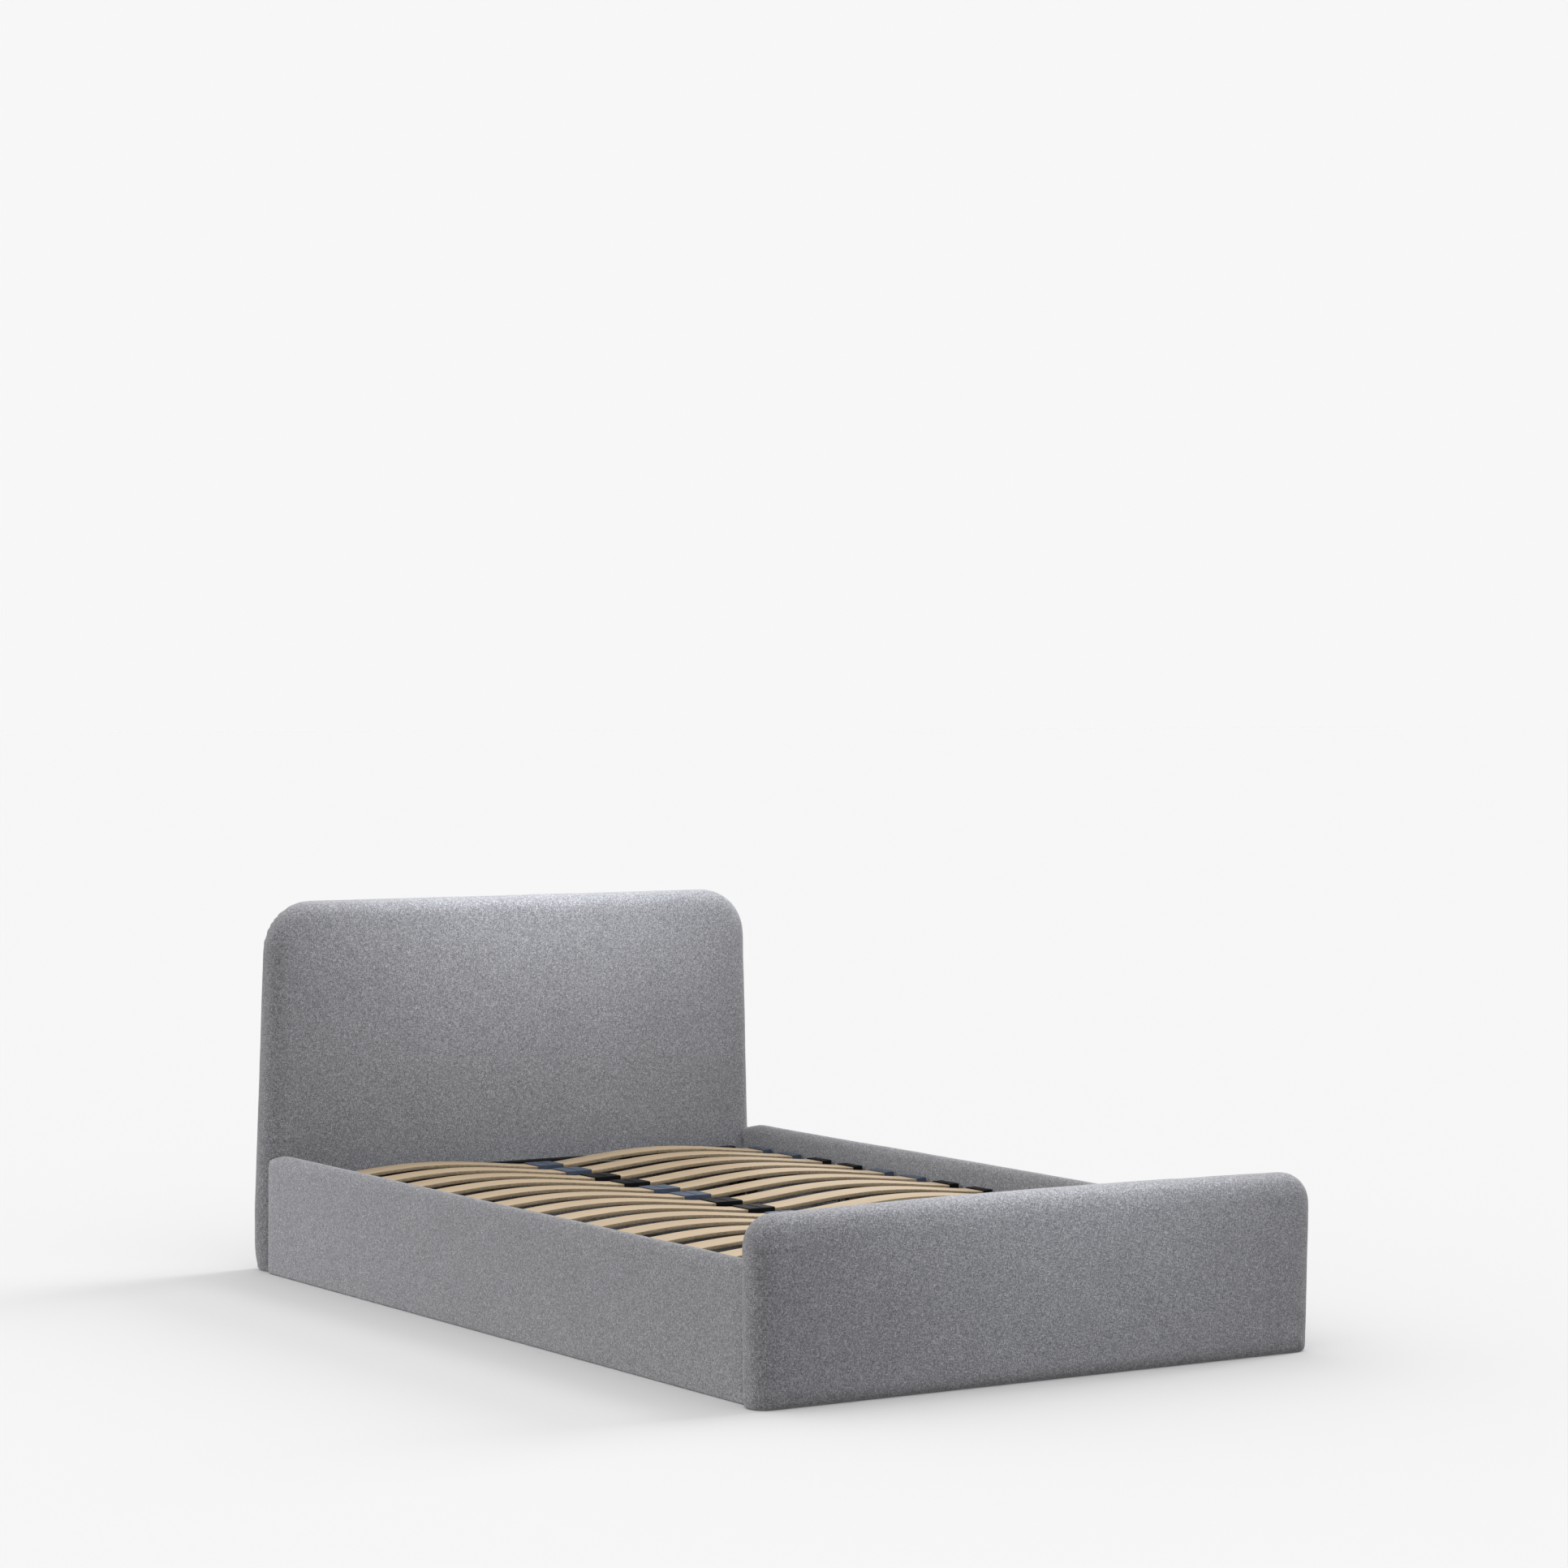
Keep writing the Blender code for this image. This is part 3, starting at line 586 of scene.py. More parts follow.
def corner_pleats(place, low, high, radius):
    """Small gathers where the cloth turns over a round top corner and is drawn to the back."""
    side = high.x - radius
    away = Vector((abs(place.x) - side, place.z - (high.z - radius)))
    if away.x < 0.0 or away.y < 0.0 or away.length < 0.6 * radius:
        return 0.0
    drawn = smoothstep(0.45, 0.95, (place.y - low.y) / (high.y - low.y))
    angle = math.atan2(away.y, away.x)
    edge = smoothstep(0.0, 0.25, angle) * smoothstep(0.0, 0.25, math.pi / 2 - angle)
    fold = math.sin(angle * 30.0 + 2.0 * math.sin(angle * 7.0 + 0.7))
    return 0.0016 * drawn * edge * (fold - 0.4)


def headboard_detail(place, normal):
    """Pleats at the top corners, and the sides drawn in at the floor."""
    hem = -0.007 * abs(normal.x) * math.exp(-(place.z / 0.035) ** 2)
    return unevenness(place) + hem + corner_pleats(place, HEAD_LOW, HEAD_HIGH, HEAD_CORNER)


def footboard_detail(place, normal):
    """A seam sunk into the side that faces the mattress."""
    depth = abs(place.y - (FOOT_LOW.y + FOOT_HIGH.y) / 2)
    seam = 0.0
    if normal.y > 0.3:
        seam = -0.0012 * math.exp(-((depth - 0.030) / 0.004) ** 2)
    return unevenness(place) + seam


def rail_detail(place, normal):
    """A folded pleat on the inner face at the head end, and the tuck at both ends."""
    from_head = RAIL_HIGH.y - place.y
    from_foot = place.y - RAIL_LOW.y
    below_top = RAIL_HIGH.z - place.z
    inner = abs(place.x) < abs(RAIL_HIGH.x) + ROLL
    height = unevenness(place)
    if inner and from_head < 0.06:
        fold = from_head - (0.006 + 0.45 * max(0.0, below_top - 0.022))
        height += 0.0034 * math.exp(-(fold / 0.0045) ** 2)
        height -= 0.0026 * smoothstep(0.0, 0.012, -fold)
    height += 0.0006 * math.exp(-(from_foot / 0.012) ** 2)
    return height


def board_map(low, high, shoulder, corner):
    """Cloth laid over a board's face and carried round its edges to the back.

    shoulder is the board's half width at its round top corners, and corner their radius."""
    roll = (high.y - low.y) / 2
    middle = (low.y + high.y) / 2

    def mapped(place, back):
        half = high.x + (shoulder - high.x) * min(1.0, place.z / (high.z - corner))
        away = Vector((abs(place.x) - (half - corner), place.z - (high.z - corner)))
        if away.x > 0.0 and away.y > 0.0:
            outward, beyond = away.normalized(), away.length - corner
        elif away.x > 0.0:
            outward, beyond = Vector((1.0, 0.0)), away.x - corner
        else:
            outward, beyond = Vector((0.0, 1.0)), away.y - corner
        flat = Vector((abs(place.x), place.z))
        over = roll + beyond
        if over > 0.0:
            flat += outward * (roll * math.atan2(over, middle - place.y) - over)
        elif back:
            flat.y = 2 * (high.z - roll) + math.pi * roll - flat.y
        return math.copysign(flat.x, place.x), flat.y
    return mapped


def rail_map(place, back):
    """Cloth carried up the outside of a rail, over its round top and down the inside."""
    across = abs(place.x) - (abs(RAIL_LOW.x) - ROLL)
    knee = RAIL_HIGH.z - ROLL
    if place.z > knee:
        return place.y, knee + ROLL * math.atan2(place.z - knee, across)
    if across > 0:
        return place.y, place.z
    return place.y, knee + math.pi * ROLL + (knee - place.z)


def upholstery(cloth):
    """The four stuffed pieces: headboard, footboard and two side rails."""
    def held_at_hem(place):
        return smoothstep(0.030, 0.010, place.z)

    def head_held(place):
        return max(smoothstep(0.018, 0.004, HEAD_HIGH.y - place.y), held_at_hem(place))

    def rail_held(place):
        return max(smoothstep(0.020, 0.006, RAIL_HIGH.y - place.y),
                   smoothstep(0.020, 0.006, place.y - RAIL_LOW.y), held_at_hem(place))

    upholstered("headboard_pad", "headboard_board", 0.0095, head_held, headboard_detail,
                board_map(HEAD_LOW, HEAD_HIGH, HEAD_SHOULDER, HEAD_CORNER), cloth, (0.002, 0.0))
    upholstered("footboard_pad", "footboard_board", 0.0090, held_at_hem, footboard_detail,
                board_map(FOOT_LOW, FOOT_HIGH, FOOT_HIGH.x, FOOT_CORNER), cloth, (0.002, 0.001))
    for side in ("left", "right"):
        upholstered(f"{side}_rail_cover", f"{side}_rail_board", 0.0080, rail_held, rail_detail,
                    rail_map, cloth, (0.002, 0.002), 3.0, 0.0015)


# ---------------------------------------------------------------- headboard back


def back_cloth(material, staple_metal):
    """A black cloth stapled over the turned edges of the headboard's cover."""
    shape = merged_copy("headboard_back_cloth")
    front = [face for face in shape.faces if face.normal.y < 0.9]
    bmesh.ops.delete(shape, geom=front, context="FACES")
    low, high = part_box("headboard_back_cloth")
    rim = [vert.co.copy() for vert in outline_of(shape)]
    bmesh.ops.inset_region(shape, faces=shape.faces, thickness=0.012, depth=0.0, use_even_offset=True)
    spacing = 0.030
    for axis in (0, 2):
        normal = Vector((axis == 0, 0, axis == 2))
        place = low[axis] + spacing
        while place < high[axis] - 0.5 * spacing:
            cut_across(shape, normal * place, normal)
            place += spacing
    lift = HEAD_HIGH.y - high.y + 0.0012
    for vert in shape.verts:
        ripple = 0.5 * noise.noise(vert.co * 6.0) + 0.3 * noise.noise(vert.co * 19.0)
        vert.co.y += lift + 0.0009 * ripple
    mesh = mesh_from(shape, "back_cloth_sheet", 180.0)
    piece = add_piece("headboard_back_sheet", mesh, material, "base", ["headboard_back_cloth"])
    thickness = piece.modifiers.new("thickness", "SOLIDIFY")
    thickness.thickness = 0.0006
    staples(rim, lift, staple_metal)


def outline_of(shape):
    """The outer vertices of a flat face, in order."""
    edges = {edge for edge in shape.edges if edge.is_boundary}
    vert = next(iter(sorted(edges, key=lambda edge: edge.index))).verts[0]
    loop = []
    while edges:
        loop.append(vert)
        edge = next((edge for edge in vert.link_edges if edge in edges), None)
        if edge is None:
            break
        edges.remove(edge)
        vert = edge.other_vert(vert)
    return loop


def staples(rim, lift, metal):
    """Wire staples every few centimetres, a little inside the cloth's edge."""
    shape = bmesh.new()
    middle = sum(rim, Vector()) / len(rim)
    spacing, inside, length = 0.048, 0.007, 0.011
    run = spacing / 2
    for start, end in zip(rim, rim[1:] + rim[:1]):
        direction = end - start
        reach = direction.length
        direction.normalize()
        inward = Vector((-direction.z, 0.0, direction.x))
        if inward.dot(middle - start) < 0:
            inward = -inward
        while run < reach:
            place = start + direction * run + inward * inside
            place.y += lift
            verts = add_box(shape, (-length / 2, -0.0003, -0.0005), (length / 2, 0.0011, 0.0005))
            angle = math.atan2(direction.z, direction.x) + 0.25 * noise.noise(place * 40.0)
            bmesh.ops.rotate(shape, matrix=Matrix.Rotation(-angle, 3, "Y"), verts=verts)
            bmesh.ops.translate(shape, vec=place, verts=verts)
            run += spacing
        run -= reach
    add_piece("back_cloth_staples", mesh_from(shape, "back_cloth_staples"), metal, "base")


# ---------------------------------------------------------------- slats and caps


def along_span(place):
    """How far a place is along a slat's free span, from 0 at the centre caps to 1 at the side caps."""
    return (abs(place.x) - CENTRE_CAP_HIGH.x) / (SIDE_CAP_LOW.x - CENTRE_CAP_HIGH.x)


def slat_master(low, high):
    """A sprung slat as it is made: laminated, arched, its long edges eased, centred on y = 0."""
    width = high.y - low.y
    arch = high.z - low.z - SLAT_THICK
    shape = bmesh.new()
    add_box(shape, (low.x, -width / 2, 0.0), (high.x, width / 2, SLAT_THICK))
    stations = 26
    for number in range(1, stations):
        place = low.x + (high.x - low.x) * number / stations
        cut_across(shape, (place, 0, 0), (1, 0, 0))
    long_edges = [edge for edge in sharp_edges(shape, 60.0)
                  if abs((edge.verts[1].co - edge.verts[0].co).normalized().x) > 0.9]
    round_off(shape, long_edges, 0.0013, 2)
    round_off(shape, sharp_edges(shape, 60.0), 0.0008, 1)
    ply = shape.loops.layers.uv.new("ply")
    for face in shape.faces:
        face.material_index = 1 if abs(face.normal.y) > 0.75 or abs(face.normal.x) > 0.75 else 0
        for loop in face.loops:
            loop[ply].uv = (loop.vert.co.x, loop.vert.co.z)
    for vert in shape.verts:
        share = along_span(vert.co)
        if 0.0 < share < 1.0:
            vert.co.z += arch * math.sin(math.pi * share) ** 1.25
    return shape


def slats(face, edge):
    """Thirty sprung slats in two columns."""
    for side, sign in (("left", -1), ("right", 1)):
        first_low, first_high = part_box(f"{side}_slat_01")
        master = slat_master(first_low, first_high)
        for row in range(1, SLAT_ROWS + 1):
            node = f"{side}_slat_{row:02d}"
            low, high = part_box(node)
            shape = master.copy()
            uneven = noise.noise(Vector((row * 3.7, sign * 5.1, 0.0)))
            for vert in shape.verts:
                share = along_span(vert.co)
                if 0.0 < share < 1.0:
                    vert.co.z += 0.0048 * uneven * share * (1 - share)
            bmesh.ops.translate(shape, vec=(0, (low.y + high.y) / 2, low.z), verts=shape.verts)
            mesh = mesh_from(shape, node)
            mesh.materials.append(face)
            mesh.materials.append(edge)
            add_piece(f"{side}_beech_slat_{row:02d}", mesh, None, "lift_frame", [node])
        master.free()


def moulded_cap(kind, slat_bottom, slat_half):
    """A cap as moulded, with a pocket for each slat end. kind is left, right or centre."""
    low_x, high_x, open_sides = {
        "left": (-SIDE_CAP_HIGH.x, -SIDE_CAP_LOW.x, (1,)),
        "right": (SIDE_CAP_LOW.x, SIDE_CAP_HIGH.x, (-1,)),
        "centre": (CENTRE_CAP_LOW.x, CENTRE_CAP_HIGH.x, (-1, 1)),
    }[kind]
    depth = 0.029 if kind == "centre" else high_x - low_x - 0.003
    top = SIDE_CAP_HIGH.z
    half = slat_half + 0.0016
    shape = bmesh.new()
    add_box(shape, (low_x, -half, SIDE_CAP_LOW.z), (high_x, half, top))
    rim = [edge for edge in shape.edges if all(vert.co.z > top - 1e-5 for vert in edge.verts)
           and abs((edge.verts[0].co - edge.verts[1].co).x) > 1e-4]
    round_off(shape, rim, 0.0014, 2)
    shape.normal_update()
    for direction in open_sides:
        open_face = max(shape.faces, key=lambda face: face.normal.x * direction * face.calc_area())
        bmesh.ops.inset_region(shape, faces=[open_face], thickness=0.0005, use_even_offset=True)
        pocket_low, pocket_high = slat_bottom - 0.0001, slat_bottom + SLAT_THICK + 0.0002
        for vert in open_face.verts[:]:
            vert.co.z = min(max(vert.co.z, pocket_low), pocket_high)
            vert.co.y = min(max(vert.co.y, -slat_half - GAP), slat_half + GAP)
        pushed = bmesh.ops.extrude_discrete_faces(shape, faces=[open_face])["faces"]
        bmesh.ops.translate(shape, vec=(-direction * depth, 0, 0), verts=pushed[0].verts[:])
        shape.normal_update()
    sunk = top - 0.0004
    if kind == "centre":
        rib = half - 0.006
        add_box(shape, (-0.0012, -rib, sunk), (0.0012, rib, top + 0.0009), 0.0004, 1)
    else:
        middle = (low_x + high_x) / 2
        rib = half - 0.010
        add_box(shape, (middle - 0.0085, -rib, sunk), (middle - 0.0070, rib, top + 0.0006), 0.0003, 1)
    return shape


def slat_caps(slate, black):
    """Caps for both ends of every slat, in alternating pairs of slate and black from the head end."""
    slat_low, slat_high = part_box("right_slat_01")
    slat_half = (slat_high.y - slat_low.y) / 2
    for kind in ("left", "right", "centre"):
        master = moulded_cap(kind, slat_low.z, slat_half)
        for row in range(SLAT_ROWS):
            low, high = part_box(f"right_slat_{row + 1:02d}")
            shape = master.copy()
            bmesh.ops.translate(shape, vec=(0, (low.y + high.y) / 2, 0), verts=shape.verts)
            material = black if row // 2 % 2 else slate
            add_piece(f"{kind}_slat_cap_{row + 1:02d}", mesh_from(shape, f"{kind}_cap", 30.0),
                      material, "lift_frame", [f"{kind}_cap_strip"])
        master.free()


# ---------------------------------------------------------------- lift frame and fittings


def steel_tube(node, axis, coat):
    """A rectangular tube with rolled corners and open ends, in place of a CAD tube."""
    low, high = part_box(node)
    shape = bmesh.new()
    verts = add_box(shape, low, high)
    along = [edge for edge in {edge for vert in verts for edge in vert.link_edges}
             if abs((edge.verts[0].co - edge.verts[1].co)[axis]) > 0.05]
    ends = [face for face in shape.faces if abs(face.normal[axis]) > 0.9]
    bmesh.ops.delete(shape, geom=ends, context="FACES_ONLY")
    round_off(shape, along, 0.003, 3)
    piece = add_piece(f"{node}_rolled", mesh_from(shape, node), coat, "lift_frame",
                      [node])
    wall = piece.modifiers.new("wall", "SOLIDIFY")
    wall.thickness = TUBE_WALL
    wall.offset = -1.0


def add_weld(shape, start, end, radius=0.0022):
    """A weld bead: a row of small overlapping ripples."""
    start, end = Vector(start), Vector(end)
    steps = max(3, round((end - start).length / 0.0022))
    for number in range(steps):
        place = start.lerp(end, (number + 0.5) / steps)
        verts = bmesh.ops.create_uvsphere(shape, u_segments=8, v_segments=5, radius=radius)["verts"]
        size = 1.0 + 0.18 * noise.noise(place * 300.0)
        bmesh.ops.scale(shape, vec=(size, size, size), verts=verts)
        bmesh.ops.translate(shape, vec=place, verts=verts)


def frame_welds(coat):
    """Beads at the corners of the lift frame and where the centre tube meets the end tubes."""
    shape = bmesh.new()
    top, bottom = SIDE_TUBE_HIGH.z - 0.003, SIDE_TUBE_LOW.z + 0.003
    floor_side = SIDE_TUBE_LOW.z
    centre_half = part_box("centre_frame_tube")[1].x
    for end in ("head", "foot"):
        low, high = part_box(f"{end}_frame_tube")
        bay_side = low.y if end == "head" else high.y
        for sign in (-1, 1):
            x = sign * SIDE_TUBE_LOW.x
            add_weld(shape, (x, bay_side, bottom), (x, bay_side, top))
            add_weld(shape, (x, low.y + 0.003, floor_side), (x, high.y - 0.003, floor_side))
            x = sign * centre_half
            add_weld(shape, (x, bay_side, bottom), (x, bay_side, top))
    add_piece("frame_welds", mesh_from(shape, "frame_welds"), coat, "lift_frame")


def tube_plugs(plastic):
    """Push-in plugs that close the four ends of the side tubes."""
    shape = bmesh.new()
    low, high = SIDE_TUBE_LOW.z, SIDE_TUBE_HIGH.z
    wall = TUBE_WALL + 0.0004
    for sign in (-1, 1):
        left, right = sorted((sign * SIDE_TUBE_LOW.x, sign * SIDE_TUBE_HIGH.x))
        for end, direction in ((SIDE_TUBE_LOW.y, -1), (SIDE_TUBE_HIGH.y, 1)):
            near, far = sorted((end, end + direction * 0.0022))
            add_box(shape, (left, near, low), (right, far, high), 0.001, 2)
            near, far = sorted((end, end - direction * 0.015))
            add_box(shape, (left + wall, near, low + wall), (right - wall, far, high - wall))
    add_piece("tube_end_plugs", mesh_from(shape, "tube_end_plugs"), plastic, "lift_frame")


def pivot_bushes(plastic):
    """Nylon bushes round the lift pivots, between the hinge plates and the side tubes."""
    shape = bmesh.new()
    for sign in (-1, 1):
        near = sign * (SIDE_TUBE_HIGH.x + 0.0002)
        far = sign * (SIDE_TUBE_HIGH.x + 0.0036)
        add_rod(shape, 0.0105, (near, PIVOT.y, PIVOT.z), (far, PIVOT.y, PIVOT.z), 28)
    add_piece("pivot_bushes", mesh_from(shape, "pivot_bushes"), plastic, "lift_frame")


def buffer_strip(rubber):
    """A soft rubber strip along the top of the head tube, where the mattress would rub on the steel."""
    low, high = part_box("head_frame_tube")
    shape = bmesh.new()
    add_box(shape, (low.x + 0.002, low.y + 0.001, high.z + 0.0001),
            (high.x - 0.002, high.y - 0.003, SIDE_CAP_HIGH.z - 0.0015), 0.003, 3)
    for vert in shape.verts:
        if vert.co.z > high.z + 0.005:
            vert.co.z += 0.0004 * noise.noise(vert.co * 8.0)
    add_piece("head_buffer_strip", mesh_from(shape, "head_buffer_strip"), rubber, "lift_frame")


def add_bolt(shape, place, direction, radius=0.0055, height=0.0032):
    """A hexagon-head bolt on a washer."""
    place, direction = Vector(place), Vector(direction)
    add_rod(shape, radius * 1.45, place, place + direction * 0.0011, 20)
    head = add_rod(shape, radius, place + direction * 0.0010, place + direction * (0.001 + height), 6)
    round_off(shape, list({edge for vert in head for edge in vert.link_edges}), 0.0005, 1)


def add_screw(shape, place, direction, radius=0.0042):
    """A pan-head screw with a cross slot."""
    place, direction = Vector(place), Vector(direction)
    add_rod(shape, radius, place, place + direction * 0.0012, 18, radius * 0.92)
    add_rod(shape, radius * 0.92, place + direction * 0.0012, place + direction * 0.0024, 18,
            radius * 0.55)


def corner_brackets(coat, zinc):
    """Angle brackets that bolt the rails to the headboard and footboard, inside the storage space."""
    steel, bolts = bmesh.new(), bmesh.new()
    rail_face = abs(RAIL_HIGH.x) - GAP
    thickness, board_leg = 0.003, 0.032
    low, high = 0.034, 0.158
    for sign in (-1, 1):
        for end, towards_bay, rail_leg in ((HEAD_LOW.y, -1, 0.013), (FOOT_HIGH.y, 1, 0.032)):
            face = end + towards_bay * GAP
            plate = face + towards_bay * thickness
            x_near, x_far = sorted((sign * (rail_face - board_leg), sign * rail_face))
            y_near, y_far = sorted((face, plate))
            add_box(steel, (x_near, y_near, low), (x_far, y_far, high), 0.0008, 2)
            x_near, x_far = sorted((sign * (rail_face - thickness), sign * rail_face))
            y_near, y_far = sorted((face, face + towards_bay * rail_leg))
            add_box(steel, (x_near, y_near, low), (x_far, y_far, high), 0.0008, 2)
            for z in (low + 0.028, high - 0.028):
                add_bolt(bolts, (sign * (rail_face - 0.018), plate, z), (0, towards_bay, 0))
                if rail_leg > 0.02:
                    screw = (sign * (rail_face - thickness), face + towards_bay * 0.021, z)
                    add_screw(bolts, screw, (-sign, 0, 0))
    add_piece("corner_brackets", mesh_from(steel, "corner_brackets"), coat, "base")
    add_piece("corner_bolts", mesh_from(bolts, "corner_bolts", 30.0), zinc, "base")


def hinge_screws(zinc):
    """Three screws through each hinge plate into the rail."""
    shape = bmesh.new()
    inner_face = PLATE_HIGH.x - 0.0037
    for sign in (-1, 1):
        for along, down in ((0.0, 0.045), (-0.018, 0.088), (0.016, 0.088)):
            add_screw(shape, (sign * inner_face, PIVOT.y + along, PIVOT.z - down), (-sign, 0, 0))
    add_piece("hinge_plate_screws", mesh_from(shape, "hinge_plate_screws"), zinc, "base")


def retainer(coat):
    """The round-bar hoop on the foot tube, bent smoothly, with a weld at each foot."""
    low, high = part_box("mattress_retainer")
    radius = (high.y - low.y) / 2
    middle = (low.y + high.y) / 2
    half = high.x - radius
    top = high.z - radius
    corner = 0.050
    shape = bmesh.new()
    start = bmesh.ops.create_circle(shape, cap_ends=False, segments=14, radius=radius)["verts"]
    bmesh.ops.translate(shape, vec=(half, middle, low.z), verts=start)
    ring = shape.edges[:]

    def push(edges, move):
        made = bmesh.ops.extrude_edge_only(shape, edges=edges)["geom"]
        verts = [part for part in made if isinstance(part, bmesh.types.BMVert)]
        bmesh.ops.translate(shape, vec=move, verts=verts)
        return [part for part in made if isinstance(part, bmesh.types.BMEdge)
                and all(vert in verts for vert in part.verts)]

    def bend(edges, centre):
        verts = list({vert for edge in edges for vert in edge.verts})
        made = bmesh.ops.spin(shape, geom=edges + verts, cent=centre, axis=(0, -1, 0), dvec=(0, 0, 0),
                              angle=math.pi / 2, steps=10, use_merge=False)["geom_last"]
        return [part for part in made if isinstance(part, bmesh.types.BMEdge)]

    ring = push(ring, (0, 0, top - corner - low.z))
    ring = bend(ring, (half - corner, middle, top - corner))
    ring = push(ring, (-2 * (half - corner), 0, 0))
    ring = bend(ring, (-half + corner, middle, top - corner))
    push(ring, (0, 0, -(top - corner - low.z)))
    bmesh.ops.holes_fill(shape, edges=[edge for edge in shape.edges if edge.is_boundary])
    add_piece("mattress_hoop", mesh_from(shape, "mattress_hoop"), coat, "lift_frame",
              ["mattress_retainer"])
    welds = bmesh.new()
    beads = 14
    for sign in (-1, 1):
        for number in range(beads):
            angle = number / beads * 2 * math.pi
            place = Vector((sign * half + radius * math.cos(angle),
                            middle + radius * math.sin(angle), low.z + 0.0006))
            made = bmesh.ops.create_uvsphere(welds, u_segments=8, v_segments=5, radius=0.0019)["verts"]
            bmesh.ops.translate(welds, vec=place, verts=made)
    add_piece("hoop_welds", mesh_from(welds, "hoop_welds"), coat, "lift_frame")


def strut_fittings(zinc, black):
    """Spring clips and a dust seal on each gas strut."""
    for side, sign in (("left", -1), ("right", 1)):
        body = f"{side}_cylinder"
        swing = Vector(JOINTS[f"{side}_strut_swing"]["pos_m"])
        direction = Vector(JOINTS[f"{side}_strut_slide"]["axis"]).normalized()
        seal = bmesh.new()
        start = swing + direction * 0.2985
        add_rod(seal, 0.0084, start, start + direction * 0.0035, 24, 0.0062)
        add_piece(f"{side}_strut_seal", mesh_from(seal, "strut_seal"), black, body)
        clip = bmesh.new()
        inward = Vector((-sign, 0, 0))
        add_rod(clip, 0.0088, swing + inward * 0.0052, swing + inward * 0.0064, 20)
        add_piece(f"{side}_strut_clip", mesh_from(clip, "strut_clip"), zinc, body)


def lift_frame(coat, plastic):
    """The welded steel frame with its plugs, bushes, buffer strip and strut brackets."""
    for node in ("left_frame_tube", "right_frame_tube", "centre_frame_tube"):
        steel_tube(node, 1, coat)
    for node in ("head_frame_tube", "foot_frame_tube"):
        steel_tube(node, 0, coat)
    frame_welds(coat)
    tube_plugs(plastic)
    pivot_bushes(plastic)
    buffer_strip(plastic)
    for side in ("left", "right"):
        softened(f"{side}_strut_bracket", coat, "lift_frame", 0.0006)


def base_fittings(coat, strut_black, chrome, panel):
    """The hinge plates, gas struts and floor panels, with their corners rounded."""
    for side in ("left", "right"):
        softened(f"{side}_hinge_plate", coat, "base", 0.0005)
        softened(f"{side}_strut_cylinder", strut_black, f"{side}_cylinder", 0.0003, 1)
        softened(f"{side}_strut_rod", chrome, f"{side}_rod", 0.0003, 1)
        softened(f"{side}_floor_panel", panel, "base", 0.0006)


def boards(board):
    """Give the bare boards inside the covers, and the floor batten, their finish."""
    for node in ("headboard_board", "footboard_board", "left_rail_board", "right_rail_board",
                 "floor_batten"):
        data = frame["nodes"][node].data
        data.materials.clear()
        data.materials.append(board)


# ---------------------------------------------------------------- stage


def camera():
    """A long lens in front of the foot end's left corner, level with the mattress."""
    heading, downward, roll = (math.radians(angle) for angle in (-33.57, 1.71, 0.39))
    place = Vector((-4.866, RAIL_LOW.y - 6.487, 1.374))
    data = bpy.data.cameras.new("camera")
    data.sensor_width = 36.0
    data.lens = 97.14
    camera_object = bpy.data.objects.new("camera", data)
    bpy.context.scene.collection.objects.link(camera_object)
    turn = (Matrix.Rotation(heading, 4, "Z") @ Matrix.Rotation(math.pi / 2 - downward, 4, "X")
            @ Matrix.Rotation(roll, 4, "Z"))
    camera_object.matrix_world = Matrix.Translation(place) @ turn
    bpy.context.scene.camera = camera_object


def window(name, towards, angle, strength):
    """Light from far away, from one direction and as wide as an angle."""
    light = bpy.data.lights.new(name, "SUN")
    light.energy = strength
    light.angle = math.radians(angle)
    lamp = bpy.data.objects.new(name, light)
    bpy.context.scene.collection.objects.link(lamp)
    lamp.matrix_world = Vector(towards).to_track_quat("Z", "Y").to_matrix().to_4x4()


def softbox(name, place, aim, size, power, receiver):
    """A cool rectangular light near the bed that lights one piece only."""
    light = bpy.data.lights.new(name, "AREA")
    light.shape = "RECTANGLE"
    light.size, light.size_y = size
    light.energy = power
    light.color = (0.93, 0.965, 1.0)
    lamp = bpy.data.objects.new(name, light)
    bpy.context.scene.collection.objects.link(lamp)
    turn = (Vector(place) - Vector(aim)).to_track_quat("Z", "Y").to_matrix().to_4x4()
    lamp.matrix_world = Matrix.Translation(place) @ turn
    lamp.visible_camera = False
    lit = bpy.data.collections.new(name)
    lit.objects.link(bpy.data.objects[receiver])
    lamp.light_linking.receiver_collection = lit


def ground():
    """The floor, which doesn't throw light back up at the bed."""
    shape = bmesh.new()
    bmesh.ops.create_grid(shape, x_segments=4, y_segments=4, size=60.0)
    mesh = mesh_from(shape, "floor")
    mesh.materials.append(studio_floor())
    floor = bpy.data.objects.new("floor", mesh)
    bpy.context.scene.collection.objects.link(floor)
    floor.location.z = -0.0004
    floor.visible_diffuse = False


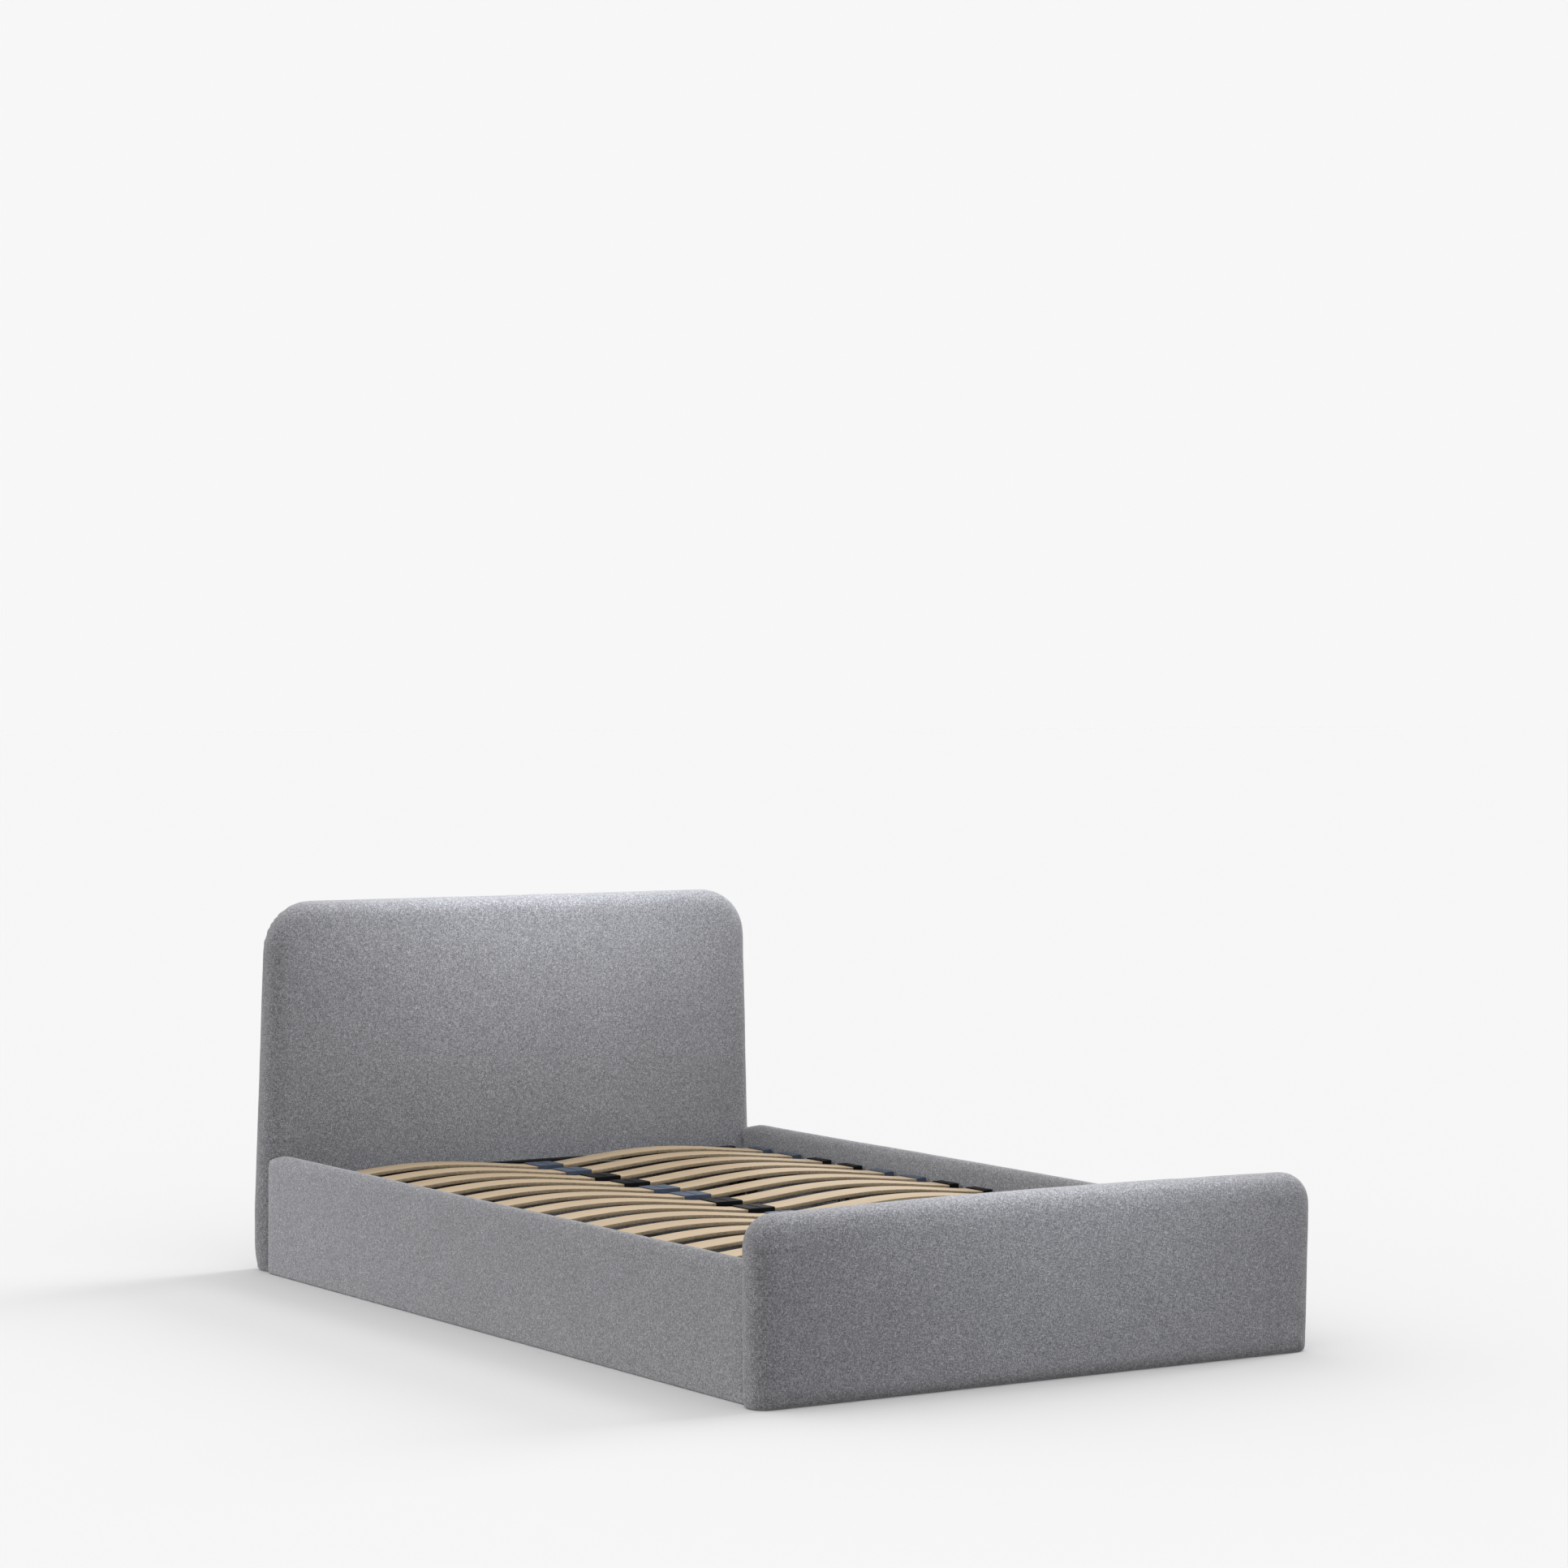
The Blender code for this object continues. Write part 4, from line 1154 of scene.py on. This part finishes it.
def sky():
    """Soft light from all round, stronger from above, from the head end and from the left."""
    world = bpy.data.worlds.new("studio")
    bpy.context.scene.world = world
    world.use_nodes = True
    nodes, links = world.node_tree.nodes, world.node_tree.links
    place = nodes.new("ShaderNodeTexCoord")
    lean = nodes.new("ShaderNodeVectorMath")
    lean.operation = "DOT_PRODUCT"
    lean.inputs[1].default_value = (-0.34, 0.35, 0.48)
    even = nodes.new("ShaderNodeMath")
    even.inputs[1].default_value = 0.75
    seen = nodes.new("ShaderNodeLightPath")
    choose = nodes.new("ShaderNodeMix")
    choose.inputs["B"].default_value = 0.93
    links.new(place.outputs["Generated"], lean.inputs[0])
    links.new(lean.outputs["Value"], even.inputs[0])
    links.new(seen.outputs["Is Camera Ray"], choose.inputs["Factor"])
    links.new(even.outputs["Value"], choose.inputs["A"])
    links.new(choose.outputs["Result"], nodes["Background"].inputs["Strength"])
    nodes["Background"].inputs["Color"].default_value = (1.0, 1.0, 1.0, 1.0)


def studio():
    """A pale floor under a soft sky, high and low light from the right, and four softboxes."""
    ground()
    sky()
    window("high_light", (1.0, 0.10, 1.376), 20.0, 0.46)
    window("low_light", (1.0, 0.08, 0.424), 24.0, 1.42)
    softbox("headboard_light", (0.10, 0.52, 1.26), (0.10, 0.80, 0.55), (0.9, 0.30), 12.0,
            "headboard_pad_upholstery")
    softbox("footboard_light", (0.08, -1.50, 1.00), (0.08, -1.30, 0.0), (0.4, 0.25), 8.8,
            "footboard_pad_upholstery")
    softbox("rail_light", (-1.50, 1.20, 0.80), (-0.65, 0.90, 0.15), (0.4, 0.40), 3.8,
            "left_rail_cover_upholstery")
    softbox("far_rail_light", (-0.60, 0.30, 1.30), (0.60, 0.10, 0.20), (0.4, 1.20), 9.0,
            "right_rail_cover_upholstery")
    bpy.context.scene.view_settings.view_transform = "Standard"


def main():
    camera()
    cloth = melange_cloth()
    coat = powder_coat()
    black = moulded("black_plastic", (0.004, 0.004, 0.005), (0.009, 0.009, 0.010), 0.10)
    slate = moulded("slate_plastic", (0.050, 0.070, 0.110), (0.085, 0.110, 0.160), 0.4)
    zinc = plain_metal("zinc_plate", (0.42, 0.42, 0.43), 0.34)
    chrome = plain_metal("polished_rod", (0.78, 0.78, 0.79), 0.14)
    strut_black = plain_metal("strut_lacquer", (0.012, 0.012, 0.013), 0.32, 0.0)

    upholstery(cloth)
    back_cloth(spun_bonded(), zinc)
    slats(beech_face(), beech_edge())
    slat_caps(slate, black)
    lift_frame(coat, black)
    retainer(coat)
    corner_brackets(coat, zinc)
    hinge_screws(zinc)
    strut_fittings(zinc, strut_black)
    base_fittings(coat, strut_black, chrome, hardboard())
    boards(raw_board())
    studio()


main()
